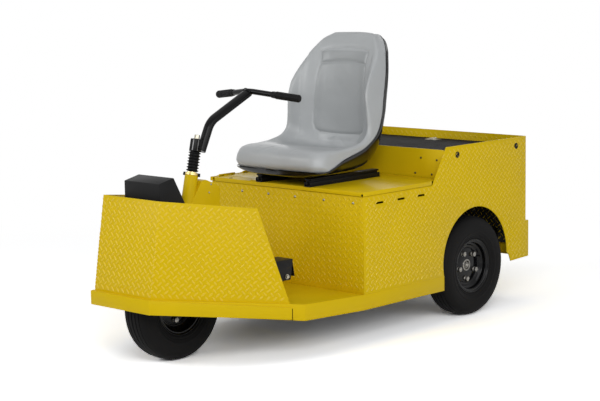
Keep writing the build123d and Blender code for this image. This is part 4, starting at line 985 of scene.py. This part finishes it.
shape = bmesh.new()
block(shape, ring_at + Vector((-0.024, -0.030, 0)), ring_at + Vector((0.024, 0.030, 0.0016)), 0.0006)
wire_ring(shape, ring_at + Vector((0, 0, 0.0038)), (0, 0, 1), 0.0165, 0.0022)
block(shape, ring_at + Vector((-0.022, -0.006, 0.0010)), ring_at + Vector((-0.012, 0.006, 0.0072)), 0.0014)
closed_piece("deck_lift_ring", shape, zinc, "cargo_deck")

# ---- seat cushion ------------------------------------------------------------------------
# One moulded bucket of polyurethane foam under grained grey vinyl, glued into a plastic shell.
# Rolled wings run round the back and down both sides of the seat. A slightly darker insert is
# sewn into the back in two panels, and the vinyl gathers in a crease where back meets seat.
seat_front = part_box("seat_cushion")[1].x
# across the rounded front, middle to shell edge: (back, half width, up) in mm from seat front and lid
nose_stations = (
    ((13, 0, 65), (14, 66, 65), (17, 125, 65), (28, 196, 65), (50, 222, 65), (66, 233, 65), (83, 238, 65)),
    ((1, 0, 80), (2, 66, 80), (5, 125, 80), (17, 196, 79), (41, 226, 77), (61, 236, 74), (83, 240, 69)),
    ((-1, 0, 95), (0, 66, 95), (2, 125, 95), (13, 196, 93), (36, 228, 89), (56, 238, 84), (83, 240, 73)),
    ((7, 0, 127), (8, 66, 127), (10, 125, 126), (20, 192, 123), (43, 226, 115), (66, 237, 105),
     (98, 240, 77)),
    ((33, 0, 147), (33, 66, 147), (35, 125, 146), (43, 190, 143), (60, 224, 135), (80, 236, 119),
     (113, 240, 82)),
    ((88, 0, 153), (88, 66, 153), (88, 120, 152), (91, 188, 149), (96, 222, 145), (103, 235, 129),
     (133, 239, 86)))
# behind it: middle (back, up), crest of the wing (back, half width, up) and shell edge (back, half width, up)
seat_stations = (
    ((138, 149), (138, 236, 147), (163, 239, 95)), ((188, 143), (188, 236, 150), (199, 238, 103)),
    ((268, 129), (243, 236, 155), (276, 237, 123)), ((338, 121), (293, 234, 168), (320, 237, 142)),
    ((383, 123), (323, 231, 190), (365, 234, 170)), ((408, 147), (334, 229, 218), (395, 230, 199)),
    ((420, 195), (335, 225, 255), (416, 226, 231)), ((427, 255), (334, 222, 295), (436, 221, 279)),
    ((431, 320), (335, 217, 340), (450, 215, 327)), ((437, 390), (349, 213, 389), (466, 208, 379)),
    ((445, 450), (380, 206, 436), (481, 200, 435)), ((455, 505), (428, 191, 494), (500, 184, 490)),
    ((466, 537), (450, 177, 524), (517, 168, 519)), ((480, 563), (473, 149, 558), (538, 138, 555)),
    ((496, 583), (496, 128, 576), (537, 120, 573)), ((512, 588), (513, 116, 583), (535, 110, 580)),
    ((530, 578), (531, 105, 577), (533, 105, 577)))
pad_depth = (6, 10, 14, 30, 48, 62, 68, 68, 64, 60, 56, 48, 44, 44, 44, 44, 44, 40, 34, 28, 20, 12, 6)
seat_rows, seat_columns, under_columns = 230, 160, 7


def seat_point(back, out, up):
    return Vector((seat_front - back / 1000, out / 1000, lid_top + up / 1000))


def half_section(station):
    # from the middle out: three points across the middle, then the wing's foot, crest, side and shell edge
    (back, up), crest, edge = station
    middle, crest, edge = seat_point(back, 0, up), seat_point(*crest), seat_point(*edge)
    fall = (edge - crest).normalized()
    flat = []
    for s, rise in ((0, 0), (0.28, 0.02), (0.52, 0.12), (0.80, 0.50)):
        low = middle.lerp(crest, rise)
        flat.append(Vector((low.x, crest.y * s, low.z)))
    inward = Vector((0, -0.013, 0))
    return flat + [crest + inward + fall * 0.001, crest + fall * 0.011, edge]


def smooth_line(points, u):
    # a curve through the points, u counting them from 0
    i = min(int(u), len(points) - 2)
    t = u - i
    p1, p2 = points[i], points[i + 1]
    p0 = points[i - 1] if i else p1 + (p1 - p2)
    p3 = points[i + 2] if i + 2 < len(points) else p2 + (p2 - p1)
    return (p1 * 2 + (p2 - p0) * t + (p0 * 2 - p1 * 5 + p2 * 4 - p3) * t * t
            + (p1 * 3 - p0 - p2 * 3 + p3) * t ** 3) / 2


def evenly(points, count):
    # count points at equal steps along the smooth curve through the given ones
    fine = [smooth_line(points, k / 12) for k in range(12 * (len(points) - 1) + 1)]
    run = [0.0]
    for a, b in zip(fine, fine[1:]):
        run.append(run[-1] + (b - a).length)
    line, k = [], 0
    for n in range(count):
        want = run[-1] * n / (count - 1)
        while k < len(run) - 2 and run[k + 1] < want:
            k += 1
        line.append(fine[k].lerp(fine[k + 1], (want - run[k]) / max(run[k + 1] - run[k], 1e-9)))
    return line


half_sections = ([[seat_point(*p) for p in row] for row in nose_stations]
                 + [half_section(row) for row in seat_stations])
long_lines = [list(line) for line in zip(*half_sections)]
# the pad's back is offset from its middle line, square to it
middle_line = long_lines[0]
backs = []
for i, point in enumerate(middle_line):
    run = middle_line[min(i + 1, len(middle_line) - 1)] - middle_line[max(i - 1, 0)]
    inward = Vector((-run.z, 0, run.x)).normalized()
    backs.append(point + inward * pad_depth[i] / 1000)
# where each row lies along the lines, found among places 1/24 of a station apart
row_u = []
for place in evenly(middle_line, seat_rows):
    steps = range((len(middle_line) - 1) * 24 + 1)
    row_u.append(min(steps, key=lambda k: (smooth_line(middle_line, k / 24) - place).length_squared) / 24)


def wrapped_grid(shape, rows, ring):
    # a grid whose vertices go to ring(row), a closed ring of points; its two ends are closed flat
    count = len(ring(0))
    made = bmesh.ops.create_grid(shape, x_segments=rows - 1, y_segments=count, size=1.0)
    rings = [ring(i) for i in range(rows)]
    for v in made["verts"]:
        i, j = round((v.co.x + 1) / 2 * (rows - 1)), round((v.co.y + 1) / 2 * count)
        v.co = rings[i][j % count]
    bmesh.ops.remove_doubles(shape, verts=shape.verts, dist=0.000005)
    bmesh.ops.holes_fill(shape, edges=shape.edges, sides=0)


def rim_lift(line, u, start, stop):
    # from a shell edge towards the sitter, square to it, fading out at the front lip and at the headrest
    run = smooth_line(line, min(u + 0.5, len(line) - 1.001)) - smooth_line(line, max(u - 0.5, 0.0))
    fade = max(0.0, min(1.0, (u - start) / 3)) * max(0.0, min(1.0, (stop - u) / 2.5))
    return Vector((run.z, 0, -run.x)).normalized() * 0.010 * fade * fade * (3 - 2 * fade)


def pad_ring(i):
    u = row_u[i]
    half = [smooth_line(line, u) for line in long_lines]
    half[-1] = half[-1] + rim_lift(long_lines[-1], u, 4, 20.5)
    upper = evenly([Vector((p.x, -p.y, p.z)) for p in reversed(half[1:])] + half, seat_columns)
    back, edge = smooth_line(backs, u), half[-1]
    under = []
    for k in range(1, under_columns + 1):
        s = 1 - 2 * k / (under_columns + 1)
        ease = 1 - min(1.0, abs(s)) ** 4
        under.append(Vector((edge.x + (back.x - edge.x) * ease, edge.y * s,
                             edge.z + (back.z - edge.z) * ease)))
    return upper + under


cushion_shape = bmesh.new()
wrapped_grid(cushion_shape, seat_rows, pad_ring)
bmesh.ops.recalc_face_normals(cushion_shape, faces=cushion_shape.faces)

# sewn lines on the back, as (half width, up) in m on the face of the pad
seat_seams = [[(-0.130, 0.512), (-0.090, 0.524), (0, 0.529), (0.090, 0.524), (0.130, 0.512)],
              [(-0.122, 0.462), (-0.060, 0.470), (0, 0.472), (0.060, 0.470), (0.122, 0.462)],
              [(0.130, 0.512), (0.124, 0.485), (0.122, 0.462), (0.126, 0.440), (0.131, 0.380),
               (0.135, 0.320), (0.137, 0.250), (0.136, 0.214), (0.128, 0.190), (0.108, 0.178),
               (0.050, 0.175), (0, 0.174)]]
seat_seams.append([(-y, z) for y, z in seat_seams[-1]])
insert_foot, insert_top = 0.174, 0.529


def nearest(seam, y, z):
    best = 1.0
    for (y0, z0), (y1, z1) in zip(seam, seam[1:]):
        across, rise = y1 - y0, z1 - z0
        t = max(0.0, min(1.0, ((y - y0) * across + (z - z0) * rise) / (across ** 2 + rise ** 2)))
        best = min(best, hypot(y - y0 - t * across, z - z0 - t * rise))
    return best


def inside_insert(y, z):
    outline = [(abs(a), b) for a, b in seat_seams[2]]
    side = max((a for (a, b), (c, d) in zip(outline, outline[1:]) if min(b, d) <= z <= max(b, d)
                for a in [a + (c - a) * (z - b) / (d - b) if d != b else a]), default=0.0)
    return side - abs(y)


# the crease where back meets seat, the short folds that gather round it and the tuck in its middle
crease_back, crease_up, crease_lean, crease_half = 0.395, 0.130, 0.9, 0.200
gathers = ((-0.043, 0.149, 0.5), (0.022, 0.137, -0.6), (0.105, 0.158, 0.9), (-0.112, 0.160, -0.9))
tuck_back, tuck_side, tuck_up = 0.378, -0.022, 0.131
seam_layer = cushion_shape.verts.layers.float.new("seam")
insert_layer = cushion_shape.verts.layers.float.new("insert")
cushion_shape.normal_update()
for v in cushion_shape.verts:
    y, z = v.co.y, v.co.z - lid_top
    v[seam_layer], v[insert_layer] = 1.0, 0.0
    puff = noise.noise(v.co * 11.0) * 0.0016 + noise.noise(v.co * 31.0 + Vector((7, 3, 1))) * 0.0004
    if v.normal.x > 0.25 and z > 0.150 and abs(y) < 0.185:
        gap = min(nearest(seam, y, z) for seam in seat_seams)
        depth = inside_insert(y, z) if insert_foot < z < insert_top else -1.0
        v[seam_layer] = gap
        v[insert_layer] = max(0.0, min(1.0, depth / 0.004 + 0.5))
        swell = 0.0030 if depth > 0 else 0.0022
        puff += swell * (1 - exp(-gap / 0.016)) - 0.0030 * exp(-(gap / 0.0042) ** 2)
    if 0.085 < z < 0.200 and abs(y) < crease_half:
        crease = abs((v.co.x - (seat_front - crease_back)) + (z - crease_up) * crease_lean)
        puff -= 0.0050 * exp(-(crease / 0.010) ** 2) * max(0.0, 1 - (abs(y) / crease_half) ** 2)
    for fold_y, fold_z, slope in gathers:
        along = (y - fold_y) * cos(slope) + (z - fold_z) * sin(slope)
        across = -(y - fold_y) * sin(slope) + (z - fold_z) * cos(slope)
        if abs(along) < 0.06 and abs(across) < 0.03 and v.normal.x > 0.1:
            puff -= 0.0024 * exp(-(across / 0.0045) ** 2 - (along / 0.026) ** 2)
    tuck = Vector((v.co.x - seat_front + tuck_back, v.co.y - tuck_side, z - tuck_up))
    if tuck.length < 0.06 and v.normal.z > 0:
        puff += 0.0060 * exp(-(tuck.y / 0.016) ** 2 - ((tuck.x - tuck.z) / 0.016) ** 2)
    v.co += v.normal * puff

vinyl = finish_material("seat_vinyl", (0.41, 0.425, 0.432, 1.0), 0.36, grain=(0.0011, 0.00010), mottle=0.05,
                        shine=0.5)
tree = vinyl.node_tree
shader, bump = tree.nodes["Principled BSDF"], tree.nodes["Bump"]
tint = shader.inputs["Base Color"].links[0].from_socket
seam = add_node(tree, "Attribute", {}, attribute_name="seam").outputs["Fac"]
insert = add_node(tree, "Attribute", {}, attribute_name="insert").outputs["Fac"]
darker = add_node(tree, "Mix", {"A": tint, "B": (0.78, 0.785, 0.785, 1.0), "Factor": insert},
                  data_type="RGBA", blend_type="MULTIPLY")
# along each sewn seam the colour is painted up to 10 % darker, as painted shade in its groove; the same value
# dips the bump there
seam_dip_shade = add_node(tree, "MapRange", {"Value": seam, "From Min": 0.0006, "From Max": 0.0032, "To Min": 0.90,
                                     "To Max": 1.0}).outputs[0]
shaded = add_node(tree, "VectorMath", {0: darker.outputs["Result"], "Scale": seam_dip_shade}, operation="SCALE")
groove = add_node(tree, "Bump", {"Height": seam_dip_shade, "Normal": bump.outputs[0], "Distance": 0.0012})
tree.links.new(shaded.outputs[0], shader.inputs["Base Color"])
tree.links.new(groove.outputs[0], shader.inputs["Normal"])

cushion = add_piece("seat_bucket_pad", cushion_shape, vinyl, "seat_deck", smooth=70.0)
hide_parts("seat_cushion")

# ---- seat shell --------------------------------------------------------------------------
# A gloss black injection-moulded shell backs the pad from the front lip up to the headrest, with
# a rolled rim all round and two moulded stiffening ribs down its back.
shell_plastic = finish_material("shell_plastic", (0.005, 0.005, 0.0055, 1.0), 0.14, coat=0.15,
                                grain=(0.004, 0.00006), mottle=0.06, shine=0.3)
# each station: rim edge (back, half width, up), then the shell's middle behind or below the pad (back, up)
shell_stations = (
    ((5, 30, 64), (7, 54)), ((6, 70, 64), (8, 50)), ((8, 110, 64), (10, 46)), ((13, 160, 64), (15, 43)),
    ((23, 203, 64), (25, 40)), ((44, 230, 65), (48, 38)), ((80, 242, 69), (90, 36)),
    ((133, 241, 84), (145, 35)), ((163, 240, 93), (185, 34)), ((199, 239, 101), (240, 34)),
    ((276, 238, 121), (318, 35)), ((320, 238, 140), (375, 42)), ((365, 235, 168), (425, 64)),
    ((395, 231, 197), (456, 102)), ((416, 227, 229), (471, 150)), ((436, 222, 277), (481, 215)),
    ((450, 216, 325), (487, 290)), ((466, 209, 377), (493, 365)), ((481, 201, 433), (502, 430)),
    ((500, 185, 488), (515, 487)), ((517, 169, 517), (527, 520)), ((538, 139, 553), (543, 551)),
    ((539, 121, 570), (545, 566)), ((538, 111, 577), (544, 573)))
shell_rows, shell_half_columns, shell_inner_columns, shell_wall = 150, 26, 14, 0.006
shell_edges = [seat_point(*edge) for edge, middle in shell_stations]
shell_middles = [seat_point(back, 0, up) for edge, (back, up) in shell_stations]
pad_centre = seat_point(250, 0, 300)


def shell_ring(i):
    u = i / (shell_rows - 1) * (len(shell_stations) - 1)
    edge, middle = smooth_line(shell_edges, u), smooth_line(shell_middles, u)
    away = Vector((middle.x - edge.x, 0, middle.z - edge.z)).normalized()
    toward = (pad_centre - middle).normalized() * shell_wall
    top = edge + rim_lift(shell_edges, u, 5, 22.5)
    rim = [top + Vector((0, 0.0012, 0)), top + Vector((0, 0.0026, 0)) + away * 0.0014,
           top.lerp(edge, 0.5) + Vector((0, 0.0028, 0)), edge + Vector((0, 0.0028, 0)) + away * 0.0040]
    outer = []
    for k in range(1, shell_half_columns):
        s = 1 - k / shell_half_columns
        drop = 1 - s ** 4.5
        rib = 0.0030 * exp(-((s * edge.y - 0.085) / 0.010) ** 2) if 11 < u < 20 else 0.0
        low = rim[3].lerp(middle, drop) + away * rib
        outer.append(Vector((low.x, rim[3].y * s, low.z)))
    half = rim + outer
    inside = []
    for k in range(1, shell_inner_columns):
        s = -1 + 2 * k / shell_inner_columns
        drop = 1 - abs(s) ** 6
        low = top.lerp(middle + toward, drop)
        inside.append(Vector((low.x, (top.y - 0.0010) * s, low.z)))
    return half + [middle] + [Vector((p.x, -p.y, p.z)) for p in reversed(half)] + inside


shape = bmesh.new()
wrapped_grid(shape, shell_rows, shell_ring)
shell = closed_piece("seat_shell_moulding", shape, shell_plastic, "seat_deck", smooth=60.0)
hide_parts("seat_shell")

# ---- seat slide rails --------------------------------------------------------------------
# Two pressed steel runners, each an upper channel sliding in a lower one, bolt the shell to the
# lid. Both are powder coated black, and a black bolt on a washer closes each front end.
rails_low, rails_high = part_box("seat_rails")
rail_half = 0.018
rail_middle = rails_high.y - rail_half
shape, bolts = bmesh.new(), bmesh.new()
for side in (1, -1):
    y = side * rail_middle
    block(shape, (rails_low.x, y - rail_half, rails_low.z),
          (rails_high.x, y + rail_half, rails_low.z + 0.0035), 0.0010)
    # the lower channel's upright lips, each with its turned-in edge
    for inset, half, foot, top in ((0.0032, 0.0018, 0.0, 0.0185), (0.0060, 0.0036, 0.0160, 0.0190)):
        for lip_y in (y - (rail_half - inset), y + (rail_half - inset)):
            block(shape, (rails_low.x, lip_y - half, rails_low.z + foot),
                  (rails_high.x, lip_y + half, rails_low.z + top), 0.0010)
    # the upper channel: its web inside the lips and its flange under the shell
    for half, foot, top in ((0.0088, rails_low.z + 0.0070, rails_high.z - 0.0050),
                            (0.0165, rails_high.z - 0.0075, rails_high.z - 0.0006)):
        block(shape, (rails_low.x + 0.006, y - half, foot), (rails_high.x - 0.004, y + half, top), 0.0016)
    washer_bolt(bolts, (rails_high.x - 0.003, y, rails_low.z + 0.014), (1, 0, 0), 0.0085, 0.0014, 0.0110,
                0.0055, 0.0008)
rails = closed_piece("seat_runner_channels", shape, black_powder, "seat_deck")
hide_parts("seat_rails")
closed_piece("seat_runner_bolts", bolts, black_powder, "seat_deck", smooth=30.0)
